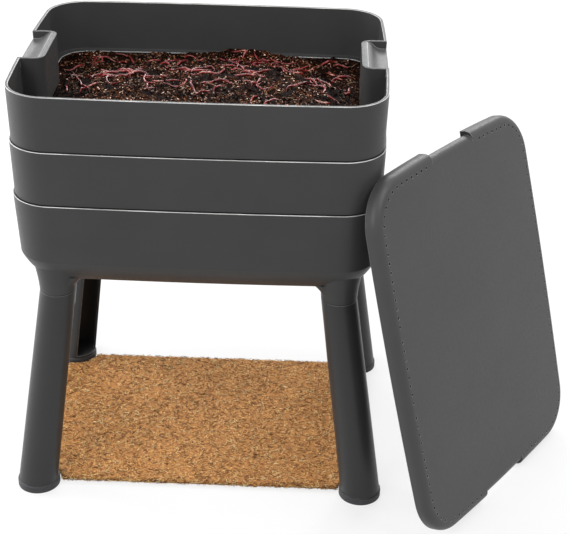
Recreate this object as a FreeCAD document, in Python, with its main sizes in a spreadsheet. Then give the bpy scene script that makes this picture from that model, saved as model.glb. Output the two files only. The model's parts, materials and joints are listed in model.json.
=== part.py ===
import FreeCAD, Part
import math
import os
import Sketcher

# Two-tray wormery on four splayed legs, in millimetres.
# The origin is on the floor under the middle of the stand; X runs along the long side, Y to the back, Z up.

Vector = FreeCAD.Vector
UP = Vector(0, 0, 1)

SIZES = (
    # outline shared by the rims of both trays and the base
    ("plan_length", 560, "long side of the rim outline"),
    ("plan_width", 450, "short side of the rim outline"),
    ("corner_radius", 64, "corner of the rim outline"),
    ("long_bow", 6, "outward bow of each long side"),
    ("short_bow", 7, "outward bow of each short side"),
    ("rim_wall", 4.5, "wall of a tray or the base at its rim"),
    ("rim_rounding", 0.8, "rounding of both edges of a rim"),
    # trays
    ("tray_pitch", 85, "height that each tray adds to the stack"),
    ("band_taper", 2.5, "how far a tray's wall leans in down to its ledge"),
    ("ledge_thickness", 3.5, "ledge that carries a tray on the rim below"),
    ("nest_inset", 16, "step in from the outline to the nested part"),
    ("nest_taper", 2, "how far the nested part leans in"),
    ("nest_depth", 60, "depth of the nested part below the ledge"),
    ("nest_wall", 3.5, "wall of the nested part"),
    ("tray_floor", 3, "floor of a tray"),
    ("drain_diameter", 7, "hole in a tray's floor"),
    ("drain_spacing", 44, "distance between holes in a tray's floor"),
    ("drain_margin", 40, "least distance from a hole to the nested part's wall"),
    # finger scoops in the short sides
    ("scoop_width", 120, "width of a scoop"),
    ("scoop_reach", 37.5, "from the outline in to the top of the ramp"),
    ("scoop_corner", 13, "corner of a scoop in plan"),
    ("scoop_drop", 13, "depth of the ramp at the outer wall"),
    ("scoop_landing", 7, "level stretch of the ramp at the outer wall"),
    ("scoop_wall", 3.5, "wall around and under a ramp"),
    ("scoop_gap", 1.5, "clearance between a scoop and the tray nested over it"),
    ("base_scoop_depth", 17, "height of the scoop block in the base"),
    # base
    ("base_rim_rise", 163, "rim of the base above the legs' shoulders"),
    ("shell_rise_top", 67, "where the base's straight wall ends, above the same"),
    ("shell_rise_upper", 53, "upper turn of the base's lower edge"),
    ("shell_rise_lower", 40, "lower turn of the base's lower edge"),
    ("shell_rise_bottom", 27, "underside of the base"),
    ("shell_inset_top", 5.5, "step in from the outline at that level"),
    ("shell_inset_upper", 13, "step in at the upper turn"),
    ("shell_inset_lower", 22.5, "step in at the lower turn"),
    ("shell_inset_bottom", 35, "step in at the underside"),
    ("shell_wall", 4, "side wall of the base"),
    ("shell_floor", 4.5, "floor of the base"),
    # legs and their sockets
    ("leg_top_height", 353, "shoulder of a leg, under its socket"),
    ("leg_top_inset_x", 63.3, "leg axis at the shoulder, inside the outline"),
    ("leg_top_inset_y", 54, "leg axis at the shoulder, inside the outline"),
    ("leg_foot_inset_x", 15, "leg axis at the floor, inside the outline"),
    ("leg_foot_inset_y", 28, "leg axis at the floor, inside the outline"),
    ("leg_top_radius", 28, "leg at the shoulder"),
    ("leg_foot_radius", 32.4, "leg at the floor"),
    ("leg_wall", 3.5, "wall of a leg"),
    ("slot_half_angle", 47, "half the opening of a leg's slot, in degrees"),
    ("slot_low_height", 17, "lower end of the slot"),
    ("slot_high_drop", 25, "upper end of the slot below the shoulder"),
    ("leg_cap_web", 6, "closed end of a leg under its shoulder"),
    ("spigot_radius", 24, "spigot on top of a leg"),
    ("spigot_length", 24, "spigot on top of a leg"),
    ("push_gap", 0.2, "clearance of a push fit"),
    ("spigot_end_gap", 0.5, "air above a leg's spigot"),
    ("socket_rise_a", 15, "first turn of a socket's cone above the shoulder"),
    ("socket_rise_b", 30, "second turn"),
    ("socket_rise_c", 57, "top of the cone, inside the base's wall"),
    ("socket_radius_a", 29, "cone at its first turn"),
    ("socket_radius_b", 31, "same, second turn"),
    ("socket_radius_c", 36, "same, top"),
    ("flare_rise_a", 4, "foot of the flare towards the middle of the stand, inside the cone"),
    ("flare_rise_b", 12, "first turn of the flare"),
    ("flare_rise_c", 20, "second turn"),
    ("flare_rise_d", 27, "where the flare meets the base's underside"),
    ("flare_rise_e", 29, "top of the flare, inside the base's floor"),
    ("flare_radius_a", 24, "flare at its foot"),
    ("flare_radius_b", 28, "same, first turn"),
    ("flare_radius_c", 31.5, "same, second turn"),
    ("flare_radius_d", 37, "same, underside"),
    ("flare_radius_e", 39, "same, top"),
    ("flare_shift_a", 0, "flare's middle from the leg towards the middle of the stand"),
    ("flare_shift_b", 1.5, "same, first turn"),
    ("flare_shift_c", 7, "same, second turn"),
    ("flare_shift_d", 15, "same, underside"),
    ("flare_shift_e", 17, "same, top"),
    # foot caps
    ("cap_radius", 34, "foot cap"),
    ("cap_height", 12, "foot cap"),
    ("cap_rounding", 2, "upper edge of a foot cap"),
    ("cap_sole_rounding", 1, "lower edge of a foot cap"),
    ("cap_plug_height", 4.5, "plug of a foot cap inside the leg"),
    # drain tap under the middle of the base
    ("tap_hole_radius", 10.5, "hole in the base's floor"),
    ("tap_shank_radius", 10, "threaded shank"),
    ("tap_bore_radius", 6, "waterway"),
    ("washer_radius", 17, "sealing washer"),
    ("washer_hole_radius", 10.2, "sealing washer"),
    ("washer_thickness", 2, "sealing washer"),
    ("tap_flange_thickness", 3, "flange of the tap body"),
    ("tap_nut_flats", 32, "back nut across its flats"),
    ("tap_nut_height", 8, "back nut"),
    ("tap_nut_chamfer", 1, "back nut's upper corners"),
    ("tap_nut_gap", 0.1, "thread clearance of the back nut"),
    ("tap_shank_proud", 3, "shank above the back nut"),
    ("tap_axis_drop", 26, "from the flange down to the rotor's axis"),
    ("tap_barrel_radius", 14, "upright barrel"),
    ("tap_cross_radius", 11, "cross barrel"),
    ("tap_cross_half", 17, "half the length of the cross barrel"),
    ("tap_outlet_radius", 7.5, "outlet"),
    ("tap_outlet_bore_radius", 5, "outlet"),
    ("tap_outlet_drop", 34, "from the rotor's axis to the outlet's mouth"),
    ("rotor_radius", 7, "bore that the rotor turns in"),
    ("rotor_gap", 0.06, "running clearance of the rotor"),
    ("rotor_port_radius", 4, "hole through the rotor"),
    ("rotor_head_radius", 10, "head behind the cross barrel"),
    ("rotor_head_thickness", 3, "head behind the cross barrel"),
    ("face_gap", 0.3, "clearance at the ends of the cross barrel"),
    ("seal_thickness", 2, "seal ring's section"),
    ("seal_offset", 11, "from the upright axis to each seal ring"),
    ("drive_side", 8, "square end of the rotor"),
    ("drive_length", 5, "square end of the rotor"),
    ("drive_gap", 0.05, "clearance of the lever on the square"),
    ("lever_hub_radius", 9, "lever"),
    ("lever_reach", 40, "from the rotor's axis to the lever's tip"),
    ("lever_tip_radius", 5, "lever"),
    ("lever_screw_radius", 2, "lever screw's shank"),
    ("lever_screw_length", 10, "lever screw's shank"),
    ("lever_screw_head_radius", 6.5, "lever screw's head"),
    ("lever_screw_head_height", 2.5, "lever screw's head"),
    ("lever_screw_gap", 0.05, "thread clearance of the lever screw"),
    # lid
    ("lid_gap", 8.5, "from the rim outline to the lid's skirt"),
    ("lid_skirt", 3.5, "lid's skirt"),
    ("lid_height", 22, "lid"),
    ("lid_panel", 3.5, "lid's panel"),
    ("lid_roll", 14, "rolled border of the lid"),
    ("lid_notch_width", 124, "recess in a short side of the lid"),
    ("lid_notch_depth", 6, "recess in a short side of the lid"),
    ("lid_notch_skirt", 14, "height left of the lid's edge in a recess"),
    ("vent_diameter", 4.5, "vent hole"),
    ("vent_inset", 16.5, "from the lid's edge to the line of vent holes"),
    ("vent_pitch", 14, "distance between vent holes"),
    ("vent_break", 24.5, "wider gap between two groups of vent holes"),
    ("vent_middle_count", 4, "holes on each side of the middle of a long side"),
    # where the lid stands
    ("lid_turn", 33.5, "outer face turned from the right to the front, in degrees"),
    ("lid_lean", 16.4, "lean back from upright, in degrees"),
    ("lid_tip", 2, "tilt in its own plane, in degrees"),
    ("lid_shift", 169, "lid's middle to the back of the stack's corner, along its short side"),
    ("rest_gap", 0.3, "clearance where one piece lies on another"),
    # soft pieces
    ("compost_drop", 85, "edge of the compost below the upper tray's rim"),
    ("compost_edge", 10, "level edge round the heap of compost"),
    ("heap_slope", 60, "slope of the heap, seen from above"),
    ("heap_height", 14, "top of the heap above the compost's edge"),
    ("mat_thickness", 8, "coir mat"),
    ("mat_depth", 384, "coir mat from front to back"),
    ("mat_end_inset", 3, "coir mat's ends inside the rim outline"),
    ("mat_gap", 0.3, "coir mat to the foot caps"),
    # space that a cutting shape runs past what it cuts
    ("overrun", 20, "cutting shapes"),
)

doc = FreeCAD.newDocument("wormery")
sheet = doc.addObject("Spreadsheet::Sheet", "Sizes")
for row, (alias, size, note) in enumerate(SIZES, 1):
    sheet.set(f"A{row}", note)
    sheet.set(f"B{row}", str(size))
    sheet.setAlias(f"B{row}", alias)
doc.recompute()

# radii of the bowed sides and distances of their centres from the middle
LONG_RADIUS = "(Sizes.plan_length^2 / 4 + Sizes.long_bow^2) / (2 * Sizes.long_bow)"
SHORT_RADIUS = "(Sizes.plan_width^2 / 4 + Sizes.short_bow^2) / (2 * Sizes.short_bow)"
LONG_CENTRE = f"{LONG_RADIUS} - Sizes.plan_width / 2"
SHORT_CENTRE = f"{SHORT_RADIUS} - Sizes.plan_length / 2"
# levels and places that follow the legs and the outline
BASE_RIM = "(Sizes.leg_top_height + Sizes.base_rim_rise)"
SHELL_BOTTOM = "(Sizes.leg_top_height + Sizes.shell_rise_bottom)"
LEG_TOP_X = "(Sizes.plan_length / 2 - Sizes.leg_top_inset_x)"
LEG_TOP_Y = "(Sizes.plan_width / 2 - Sizes.leg_top_inset_y)"
LEG_FOOT_X = "(Sizes.plan_length / 2 - Sizes.leg_foot_inset_x)"
LEG_FOOT_Y = "(Sizes.plan_width / 2 - Sizes.leg_foot_inset_y)"
# a quarter round seen at its middle lies this share of its radius inside both faces
QUARTER_MIDDLE = 1 - math.sqrt(0.5)


def value(expression):
    """Number that an expression of the sheet has."""
    result = sheet.evalExpression(expression)
    return float(getattr(result, "Value", result))


def feature(kind, name, **expressions):
    """New object with properties bound to expressions; a double underscore stands for a dot."""
    item = doc.addObject(kind, name)
    for path, expression in expressions.items():
        item.setExpression(path.replace("__", "."), expression)
    return item


def at(x="0", y="0", z="0"):
    """Expressions that place an object."""
    return {"Placement__Base__x": x, "Placement__Base__y": y, "Placement__Base__z": z}


def box(name, length, width, height, **place):
    return feature("Part::Box", name, Length=length, Width=width, Height=height, **place)


def cylinder(name, radius, height, **place):
    return feature("Part::Cylinder", name, Radius=radius, Height=height, **place)


def cylinder_to_back(name, radius, length, **place):
    """Cylinder along +Y."""
    item = cylinder(name, radius, length, **place)
    item.Placement.Rotation = FreeCAD.Rotation(Vector(1, 0, 0), -90)
    return item


def boolean(kind, name, base, tool):
    item = doc.addObject(kind, name)
    item.Base = base
    item.Tool = tool
    return item


def cut(name, base, tool):
    return boolean("Part::Cut", name, base, tool)


def common(name, base, tool):
    return boolean("Part::Common", name, base, tool)


def fuse(name, *shapes):
    item = doc.addObject("Part::MultiFuse", name)
    item.Shapes = list(shapes)
    return item


def mirror(name, source, normal):
    item = doc.addObject("Part::Mirroring", name)
    item.Source = source
    item.Normal = normal
    return item


def both_ends(name, source):
    """A piece at +X together with its mirror image at -X."""
    pair = doc.addObject("Part::Compound", name)
    pair.Links = [source, mirror(f"{name}_image", source, Vector(1, 0, 0))]
    return pair


def four_corners(name, make):
    """A piece made at the front right corner and mirrored to the others."""
    front_right = make(f"{name}_front_right")
    front_left = mirror(f"{name}_front_left", front_right, Vector(1, 0, 0))
    rear_right = mirror(f"{name}_rear_right", front_right, Vector(0, 1, 0))
    rear_left = mirror(f"{name}_rear_left", front_left, Vector(0, 1, 0))
    return [front_left, front_right, rear_left, rear_right]


def loft(name, sections, ruled=True):
    item = doc.addObject("Part::Loft", name)
    item.Sections = list(sections)
    item.Solid = True
    item.Ruled = ruled
    return item


def extrusion(name, sketch, length, symmetric=False):
    """Sketch drawn out along its own normal."""
    item = feature("Part::Extrusion", name, LengthFwd=length)
    item.Base = sketch
    item.DirMode = "Normal"
    item.Solid = True
    item.Symmetric = symmetric
    return item


def dimension(sketch, kind, *where, size):
    """Driving dimension of a sketch, bound to an expression."""
    index = sketch.addConstraint(Sketcher.Constraint(kind, *where, value(size)))
    sketch.setExpression(f"Constraints[{index}]", size)


def outline_corner():
    """Centre of the corner arc that is tangent to both bowed sides, at the front right."""
    reach_short = value(f"{SHORT_RADIUS} - Sizes.corner_radius")
    reach_long = value(f"{LONG_RADIUS} - Sizes.corner_radius")
    back = value(SHORT_CENTRE)
    deep = value(LONG_CENTRE)
    span = math.hypot(back, deep)
    along = (reach_short**2 - reach_long**2 + span**2) / (2 * span)
    across = math.sqrt(reach_short**2 - along**2)
    x = -back + (along * back + across * deep) / span
    y = (along * deep - across * back) / span
    return x, y


def outline(name, inset, level):
    """Rim outline moved in by an inset: four bowed sides and four corner arcs, all tangent."""
    sketch = feature("Sketcher::SketchObject", name, **at(z=level))
    x, y = outline_corner()
    deep = value(LONG_CENTRE)
    back = value(SHORT_CENTRE)
    lean_long = math.atan2(x, deep - y)
    lean_short = math.atan2(-y, x + back)
    quarter = math.pi / 2
    centres = ((0, deep), (x, y), (-back, 0), (x, -y), (0, -deep), (-x, -y), (back, 0), (-x, y))
    radii = (LONG_RADIUS, "Sizes.corner_radius", SHORT_RADIUS, "Sizes.corner_radius") * 2
    turns = [-quarter - lean_long]
    for step in (2 * lean_long, quarter - lean_long - lean_short, 2 * lean_short,
                 quarter - lean_long - lean_short) * 2:
        turns.append(turns[-1] + step)
    for centre, radius, start, end in zip(centres, radii, turns, turns[1:]):
        circle_size = value(f"{radius} - ({inset})")
        sketch.addGeometry(Part.ArcOfCircle(Part.Circle(Vector(*centre, 0), UP, circle_size), start, end))
    for index in range(8):
        sketch.addConstraint(Sketcher.Constraint("Tangent", index, 2, (index + 1) % 8, 1))
    for index in (0, 4):
        sketch.addConstraint(Sketcher.Constraint("PointOnObject", index, 3, -2))
    for index in (2, 6):
        sketch.addConstraint(Sketcher.Constraint("PointOnObject", index, 3, -1))
    dimension(sketch, "DistanceY", -1, 1, 0, 3, size=LONG_CENTRE)
    dimension(sketch, "DistanceY", 4, 3, -1, 1, size=LONG_CENTRE)
    dimension(sketch, "DistanceX", 2, 3, -1, 1, size=SHORT_CENTRE)
    dimension(sketch, "DistanceX", -1, 1, 6, 3, size=SHORT_CENTRE)
    for index, radius in enumerate(radii):
        dimension(sketch, "Radius", index, size=f"{radius} - ({inset})")
    return sketch


def tub(name, *sections, ruled=True):
    """Solid through outlines given as (inset, level)."""
    sketches = [outline(f"{name}_{number}", *section) for number, section in enumerate(sections, 1)]
    return loft(name, sketches, ruled)


def rounded_slab(name, left, right, half_width, corner, low, high):
    """Upright slab with rounded corners, from x = left to x = right."""
    sketch = feature("Sketcher::SketchObject", f"{name}_plan", **at(z=low))
    x0, x1, y, r = value(left), value(right), value(half_width), value(corner)
    sides = (
        ((x0 + r, -y), (x1 - r, -y)),
        ((x1, -y + r), (x1, y - r)),
        ((x1 - r, y), (x0 + r, y)),
        ((x0, y - r), (x0, -y + r)),
    )
    corners = ((x1 - r, -y + r), (x1 - r, y - r), (x0 + r, y - r), (x0 + r, -y + r))
    for (start, end), centre, quarter in zip(sides, corners, (-1, 0, 1, 2)):
        sketch.addGeometry(Part.LineSegment(Vector(*start, 0), Vector(*end, 0)))
        turn = quarter * math.pi / 2
        arc = Part.ArcOfCircle(Part.Circle(Vector(*centre, 0), UP, r), turn, turn + math.pi / 2)
        sketch.addGeometry(arc)
    for index in range(8):
        sketch.addConstraint(Sketcher.Constraint("Tangent", index, 2, (index + 1) % 8, 1))
    for index, kind in ((0, "Horizontal"), (2, "Vertical"), (4, "Horizontal"), (6, "Vertical")):
        sketch.addConstraint(Sketcher.Constraint(kind, index))
    for index in (3, 5, 7):
        sketch.addConstraint(Sketcher.Constraint("Equal", 1, index))
    dimension(sketch, "Radius", 1, size=corner)
    dimension(sketch, "DistanceX", -1, 1, 6, 1, size=left)
    dimension(sketch, "DistanceX", -1, 1, 2, 1, size=right)
    dimension(sketch, "DistanceY", 0, 1, -1, 1, size=half_width)
    dimension(sketch, "DistanceY", -1, 1, 4, 1, size=half_width)
    return extrusion(name, sketch, f"{high} - ({low})")


def ramp(name, crest, closing):
    """Bar under or over the curved ramp of a scoop: two equal arcs from the crest down to the landing."""
    sketch = feature("Sketcher::SketchObject", f"{name}_profile")
    sketch.Placement.Rotation = FreeCAD.Rotation(Vector(1, 0, 0), 90)
    inner = "Sizes.plan_length / 2 - Sizes.scoop_reach"
    landing = "Sizes.plan_length / 2 - Sizes.scoop_landing"
    outer = "Sizes.plan_length / 2 + Sizes.overrun"
    foot = f"{crest} - Sizes.scoop_drop"
    x0, x1, x2 = value(inner), value(landing), value(outer)
    top, low, far = value(crest), value(foot), value(closing)
    radius = ((x1 - x0) ** 2 + (top - low) ** 2) / (4 * (top - low))
    half_turn = math.asin((x1 - x0) / 2 / radius)
    crest_arc = Part.Circle(Vector(x0, top - radius, 0), UP, radius)
    foot_arc = Part.Circle(Vector(x1, low + radius, 0), UP, radius)
    quarter = math.pi / 2
    sketch.addGeometry(Part.ArcOfCircle(crest_arc, quarter - half_turn, quarter))
    sketch.addGeometry(Part.ArcOfCircle(foot_arc, -quarter - half_turn, -quarter))
    points = [Vector(x, z, 0) for x, z in ((x1, low), (x2, low), (x2, far), (x0, far), (x0, top))]
    for start, end in zip(points, points[1:]):
        sketch.addGeometry(Part.LineSegment(start, end))
    sketch.addConstraint(Sketcher.Constraint("Tangent", 0, 1, 1, 1))
    sketch.addConstraint(Sketcher.Constraint("Tangent", 1, 2, 2, 1))
    for index in (2, 3, 4):
        sketch.addConstraint(Sketcher.Constraint("Coincident", index, 2, index + 1, 1))
    sketch.addConstraint(Sketcher.Constraint("Coincident", 5, 2, 0, 2))
    for index, kind in ((2, "Horizontal"), (3, "Vertical"), (4, "Horizontal"), (5, "Vertical")):
        sketch.addConstraint(Sketcher.Constraint(kind, index))
    sketch.addConstraint(Sketcher.Constraint("Equal", 0, 1))
    sketch.addConstraint(Sketcher.Constraint("Vertical", 0, 3, 0, 2))
    dimension(sketch, "DistanceX", -1, 1, 0, 2, size=inner)
    dimension(sketch, "DistanceY", -1, 1, 0, 2, size=crest)
    dimension(sketch, "DistanceX", -1, 1, 2, 1, size=landing)
    dimension(sketch, "DistanceY", -1, 1, 2, 1, size=foot)
    dimension(sketch, "DistanceX", -1, 1, 3, 2, size=outer)
    dimension(sketch, "DistanceY", -1, 1, 3, 2, size=closing)
    return extrusion(name, sketch, "Sizes.scoop_width + 2 * Sizes.overrun", symmetric=True)


def scoop_slab(name, growth, low, high, outer="Sizes.plan_length / 2 + Sizes.overrun"):
    """Slab with a scoop's plan, grown on every inner side."""
    left = f"Sizes.plan_length / 2 - Sizes.scoop_reach - ({growth})"
    half_width = f"Sizes.scoop_width / 2 + {growth}"
    return rounded_slab(name, left, outer, half_width, f"Sizes.scoop_corner + {growth}", low, high)


def scoop_tools(name, rim, pocket_low):
    """What a scoop takes away at both ends: the ramp from above and the hollow under it."""
    above = f"{rim} + Sizes.overrun"
    over = common(
        f"{name}_ramp",
        ramp(f"{name}_ramp_bar", rim, above),
        scoop_slab(f"{name}_ramp_plan", "0", f"{rim} - Sizes.scoop_drop - Sizes.overrun", above),
    )
    under = common(
        f"{name}_pocket",
        ramp(f"{name}_pocket_bar", f"{rim} - Sizes.scoop_wall", f"{pocket_low} - Sizes.overrun"),
        scoop_slab(f"{name}_pocket_plan", "0", pocket_low, rim,
                   "Sizes.plan_length / 2 - Sizes.scoop_landing"),
    )
    return [both_ends(f"{name}_ramps", over), both_ends(f"{name}_pockets", under)]


def rounded_rim(inset, rim, outward):
    """Sections of a rim's rounded edge, on the outer face (outward 1) or the inner one (-1)."""
    sections = []
    for share, drop in ((1, 0), (QUARTER_MIDDLE, QUARTER_MIDDLE), (0, 1)):
        sections.append((
            f"{inset} + {outward * share} * Sizes.rim_rounding",
            f"{rim} - {drop} * Sizes.rim_rounding",
        ))
    return sections


def hole_grid(name, radius, low, high):
    """Bars for a grid of holes over a tray's floor, clear of its walls and scoops."""
    spacing = value("Sizes.drain_spacing")
    wall = "Sizes.nest_inset - Sizes.nest_taper - Sizes.nest_wall - Sizes.drain_margin"
    half_x = value(f"Sizes.plan_length / 2 - Sizes.scoop_reach + {wall}")
    half_y = value(f"Sizes.plan_width / 2 + {wall}")
    columns = int(half_x / spacing)
    rows = int(half_y / spacing)
    bars = []
    for column in range(-columns, columns + 1):
        for line in range(-rows, rows + 1):
            foot = Vector(column * spacing, line * spacing, value(low))
            bars.append(Part.makeCylinder(value(radius), value(high) - value(low), foot))
    item = doc.addObject("Part::Feature", name)
    item.Shape = Part.makeCompound(bars)
    return item


def make_tray(name, rim):
    """Tray whose band stands on the rim below while its nested part hangs inside."""
    ledge = f"{rim} - Sizes.tray_pitch"
    floor = f"{ledge} - Sizes.nest_depth"
    band = tub(f"{name}_band", *rounded_rim("0", rim, 1), ("Sizes.band_taper", ledge))
    nest = tub(
        f"{name}_nest",
        ("Sizes.nest_inset", f"{ledge} + Sizes.ledge_thickness / 2"),
        ("Sizes.nest_inset + Sizes.nest_taper", floor),
    )
    recess = both_ends(
        f"{name}_recesses",
        scoop_slab(f"{name}_recess", "Sizes.scoop_wall + Sizes.scoop_gap",
                   f"{floor} - Sizes.overrun", ledge),
    )
    outside = fuse(f"{name}_outside", band, nest)

    wall = "Sizes.rim_wall"
    ledge_top = f"{ledge} + Sizes.ledge_thickness"
    band_space = tub(
        f"{name}_band_space",
        (f"{wall} - Sizes.rim_rounding", f"{rim} + Sizes.overrun"),
        *rounded_rim(wall, rim, -1),
        (f"{wall} + Sizes.band_taper", ledge_top),
    )
    block = both_ends(
        f"{name}_blocks",
        scoop_slab(f"{name}_block", "Sizes.scoop_wall", f"{ledge_top} - Sizes.overrun", rim),
    )
    nest_space = tub(
        f"{name}_nest_space",
        ("Sizes.nest_inset + Sizes.nest_wall", f"{ledge_top} + Sizes.ledge_thickness"),
        ("Sizes.nest_inset + Sizes.nest_taper + Sizes.nest_wall", f"{floor} + Sizes.tray_floor"),
    )
    nest_block = both_ends(
        f"{name}_nest_blocks",
        scoop_slab(f"{name}_nest_block", "Sizes.scoop_wall + Sizes.scoop_gap + Sizes.nest_wall",
                   f"{floor} - Sizes.overrun", f"{ledge_top} + Sizes.overrun"),
    )
    space = fuse(
        f"{name}_space",
        cut(f"{name}_upper_space", band_space, block),
        cut(f"{name}_lower_space", nest_space, nest_block),
    )
    holes = hole_grid(f"{name}_holes", "Sizes.drain_diameter / 2",
                      f"{floor} - Sizes.overrun", f"{floor} + Sizes.overrun")
    removed = [recess, space, holes, *scoop_tools(name, rim, ledge)]
    return cut(name, outside, fuse(f"{name}_removed", *removed))


def leg_axis(level):
    """Expressions for the point where the front right leg's axis crosses a level."""
    share = f"({level}) / Sizes.leg_top_height"
    x = f"({LEG_FOOT_X} + ({LEG_TOP_X} - {LEG_FOOT_X}) * {share})"
    y = f"(-{LEG_FOOT_Y} - ({LEG_TOP_Y} - {LEG_FOOT_Y}) * {share})"
    return x, y


def leg_radius(level):
    taper = "(Sizes.leg_top_radius - Sizes.leg_foot_radius)"
    return f"(Sizes.leg_foot_radius + {taper} * ({level}) / Sizes.leg_top_height)"


def leg_cone(name, change, low, high):
    """Leaning cone along the leg's axis, its radius changed from the leg's own."""
    circles = []
    for number, level in enumerate((low, high), 1):
        radius = f"{leg_radius(level)} + ({change})"
        place = at(*leg_axis(level), level)
        circles.append(feature("Part::Circle", f"{name}_{number}", Radius=radius, **place))
    return loft(name, circles)


# distance from the middle of the stand to a leg's shoulder, seen from above
LEG_SPAN = f"sqrt({LEG_TOP_X}^2 + {LEG_TOP_Y}^2)"


def leg_slot(name):
    """Cutter for the slot, on the leg's side towards the middle of the stand."""
    # how far the cutter's middle lies beyond the slot's edges, as a share of half its width
    beyond = 0.2
    circles = []
    ends = ("Sizes.slot_low_height", "Sizes.leg_top_height - Sizes.slot_high_drop")
    for number, level in enumerate(ends, 1):
        # the cutter's circle meets the leg's at both edges of the slot
        half_chord = f"({leg_radius(level)} * sin(Sizes.slot_half_angle))"
        shift = f"({leg_radius(level)} * cos(Sizes.slot_half_angle) + {half_chord} * {beyond})"
        x, y = leg_axis(level)
        place = at(
            f"{x} - {shift} * {LEG_TOP_X} / {LEG_SPAN}",
            f"{y} + {shift} * {LEG_TOP_Y} / {LEG_SPAN}",
            level,
        )
        radius = f"{half_chord} * sqrt(1 + {beyond}^2)"
        circles.append(feature("Part::Circle", f"{name}_{number}", Radius=radius, **place))
    return loft(name, circles)


def make_leg(name):
    """Tapered leaning tube with an open slot and a spigot for its socket."""
    top_x, top_y = leg_axis("Sizes.leg_top_height")
    web = "Sizes.leg_top_height - Sizes.leg_cap_web"
    tube = leg_cone(f"{name}_tube", "0", "Sizes.cap_height", "Sizes.leg_top_height")
    spigot = cylinder(f"{name}_spigot", "Sizes.spigot_radius", "Sizes.spigot_length + Sizes.leg_cap_web / 2",
                      **at(top_x, top_y, f"{web} + Sizes.leg_cap_web / 2"))
    hollow = leg_cone(f"{name}_hollow", "-Sizes.leg_wall", "Sizes.cap_height - Sizes.leg_wall", web)
    bore = cylinder(f"{name}_bore", "Sizes.spigot_radius - Sizes.leg_wall",
                    "Sizes.spigot_length + Sizes.overrun", **at(top_x, top_y, "Sizes.leg_top_height"))
    solid = fuse(f"{name}_solid", tube, spigot)
    hollowed = cut(f"{name}_hollowed", solid, fuse(f"{name}_inside", hollow, bore))
    return cut(name, hollowed, leg_slot(f"{name}_slot"))


def make_cap(name):
    """Foot cap: a disc with rounded edges and a plug inside the leg."""
    place = at(*leg_axis("Sizes.cap_height"))
    disc = cylinder(f"{name}_disc", "Sizes.cap_radius", "Sizes.cap_height", **place)
    doc.recompute()
    rounded = doc.addObject("Part::Fillet", f"{name}_rounded")
    rounded.Base = disc
    upper = value("Sizes.cap_rounding")
    lower = value("Sizes.cap_sole_rounding")
    edges = []
    for number, edge in enumerate(disc.Shape.Edges, 1):
        if len(edge.Vertexes) == 1:
            radius = upper if edge.BoundBox.ZMax > value("Sizes.cap_height / 2") else lower
            edges.append((number, radius, radius))
    rounded.Edges = edges
    plug = leg_cone(f"{name}_plug", "-Sizes.leg_wall - Sizes.push_gap",
                    "Sizes.cap_height / 2", "Sizes.cap_height + Sizes.cap_plug_height")
    return fuse(name, rounded, plug)


def make_socket(name):
    """Cone over a leg's shoulder with a flare that spreads into the base's underside."""
    cone = [
        feature("Part::Circle", f"{name}_cone_0", Radius="Sizes.leg_top_radius",
                **at(LEG_TOP_X, f"-{LEG_TOP_Y}", "Sizes.leg_top_height"))
    ]
    for turn in "abc":
        level = f"Sizes.leg_top_height + Sizes.socket_rise_{turn}"
        cone.append(feature("Part::Circle", f"{name}_cone_{turn}", Radius=f"Sizes.socket_radius_{turn}",
                            **at(LEG_TOP_X, f"-{LEG_TOP_Y}", level)))
    flare = []
    for turn in "abcde":
        shift = f"Sizes.flare_shift_{turn}"
        place = at(f"{LEG_TOP_X} - {shift}", f"{shift} - {LEG_TOP_Y}",
                   f"Sizes.leg_top_height + Sizes.flare_rise_{turn}")
        radius = f"Sizes.flare_radius_{turn}"
        flare.append(feature("Part::Circle", f"{name}_flare_{turn}", Radius=radius, **place))
    return fuse(name, loft(f"{name}_cone", cone, ruled=False), loft(f"{name}_flare", flare, ruled=False))


def make_socket_bore(name):
    """Bore that a leg's spigot is pushed into."""
    place = at(*leg_axis("Sizes.leg_top_height"), "Sizes.leg_top_height - Sizes.overrun")
    return cylinder(name, "Sizes.spigot_radius + Sizes.push_gap",
                    "Sizes.spigot_length + Sizes.spigot_end_gap + Sizes.overrun", **place)


def make_base(name):
    """Tub with a rounded lower edge, two finger scoops, four leg sockets and a hole for the tap."""
    rim = BASE_RIM
    turns = ("top", "upper", "lower", "bottom")
    insets = [f"Sizes.shell_inset_{turn}" for turn in turns]
    levels = [f"(Sizes.leg_top_height + Sizes.shell_rise_{turn})" for turn in turns]
    walls = tub(f"{name}_walls", *rounded_rim("0", rim, 1), (insets[0], levels[0]))
    shell = tub(f"{name}_shell", *zip(insets, levels), ruled=False)
    sockets = four_corners(f"{name}_socket", make_socket)
    bores = four_corners(f"{name}_bore", make_socket_bore)
    outside = fuse(f"{name}_outside", walls, shell, *sockets)

    wall_space = tub(
        f"{name}_wall_space",
        ("Sizes.rim_wall - Sizes.rim_rounding", f"{rim} + Sizes.overrun"),
        *rounded_rim("Sizes.rim_wall", rim, -1),
        (f"{insets[0]} + Sizes.shell_wall", levels[0]),
    )
    block_low = f"{rim} - Sizes.base_scoop_depth"
    block = both_ends(f"{name}_blocks", scoop_slab(f"{name}_block", "Sizes.scoop_wall", block_low, rim))
    sump_sections = []
    for step, (inset, level) in enumerate(zip(insets, levels)):
        sump_sections.append((f"{inset} + Sizes.shell_wall", f"{level} + Sizes.shell_floor * {step} / 3"))
    sump = tub(f"{name}_sump_space", *sump_sections, ruled=False)
    tap_hole = cylinder(f"{name}_tap_hole", "Sizes.tap_hole_radius", "2 * Sizes.overrun",
                        **at(z=f"{SHELL_BOTTOM} - Sizes.overrun"))
    space = fuse(f"{name}_space", cut(f"{name}_upper_space", wall_space, block), sump)
    removed = [space, tap_hole, *bores, *scoop_tools(name, rim, block_low)]
    return cut(name, outside, fuse(f"{name}_removed", *removed))


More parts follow.
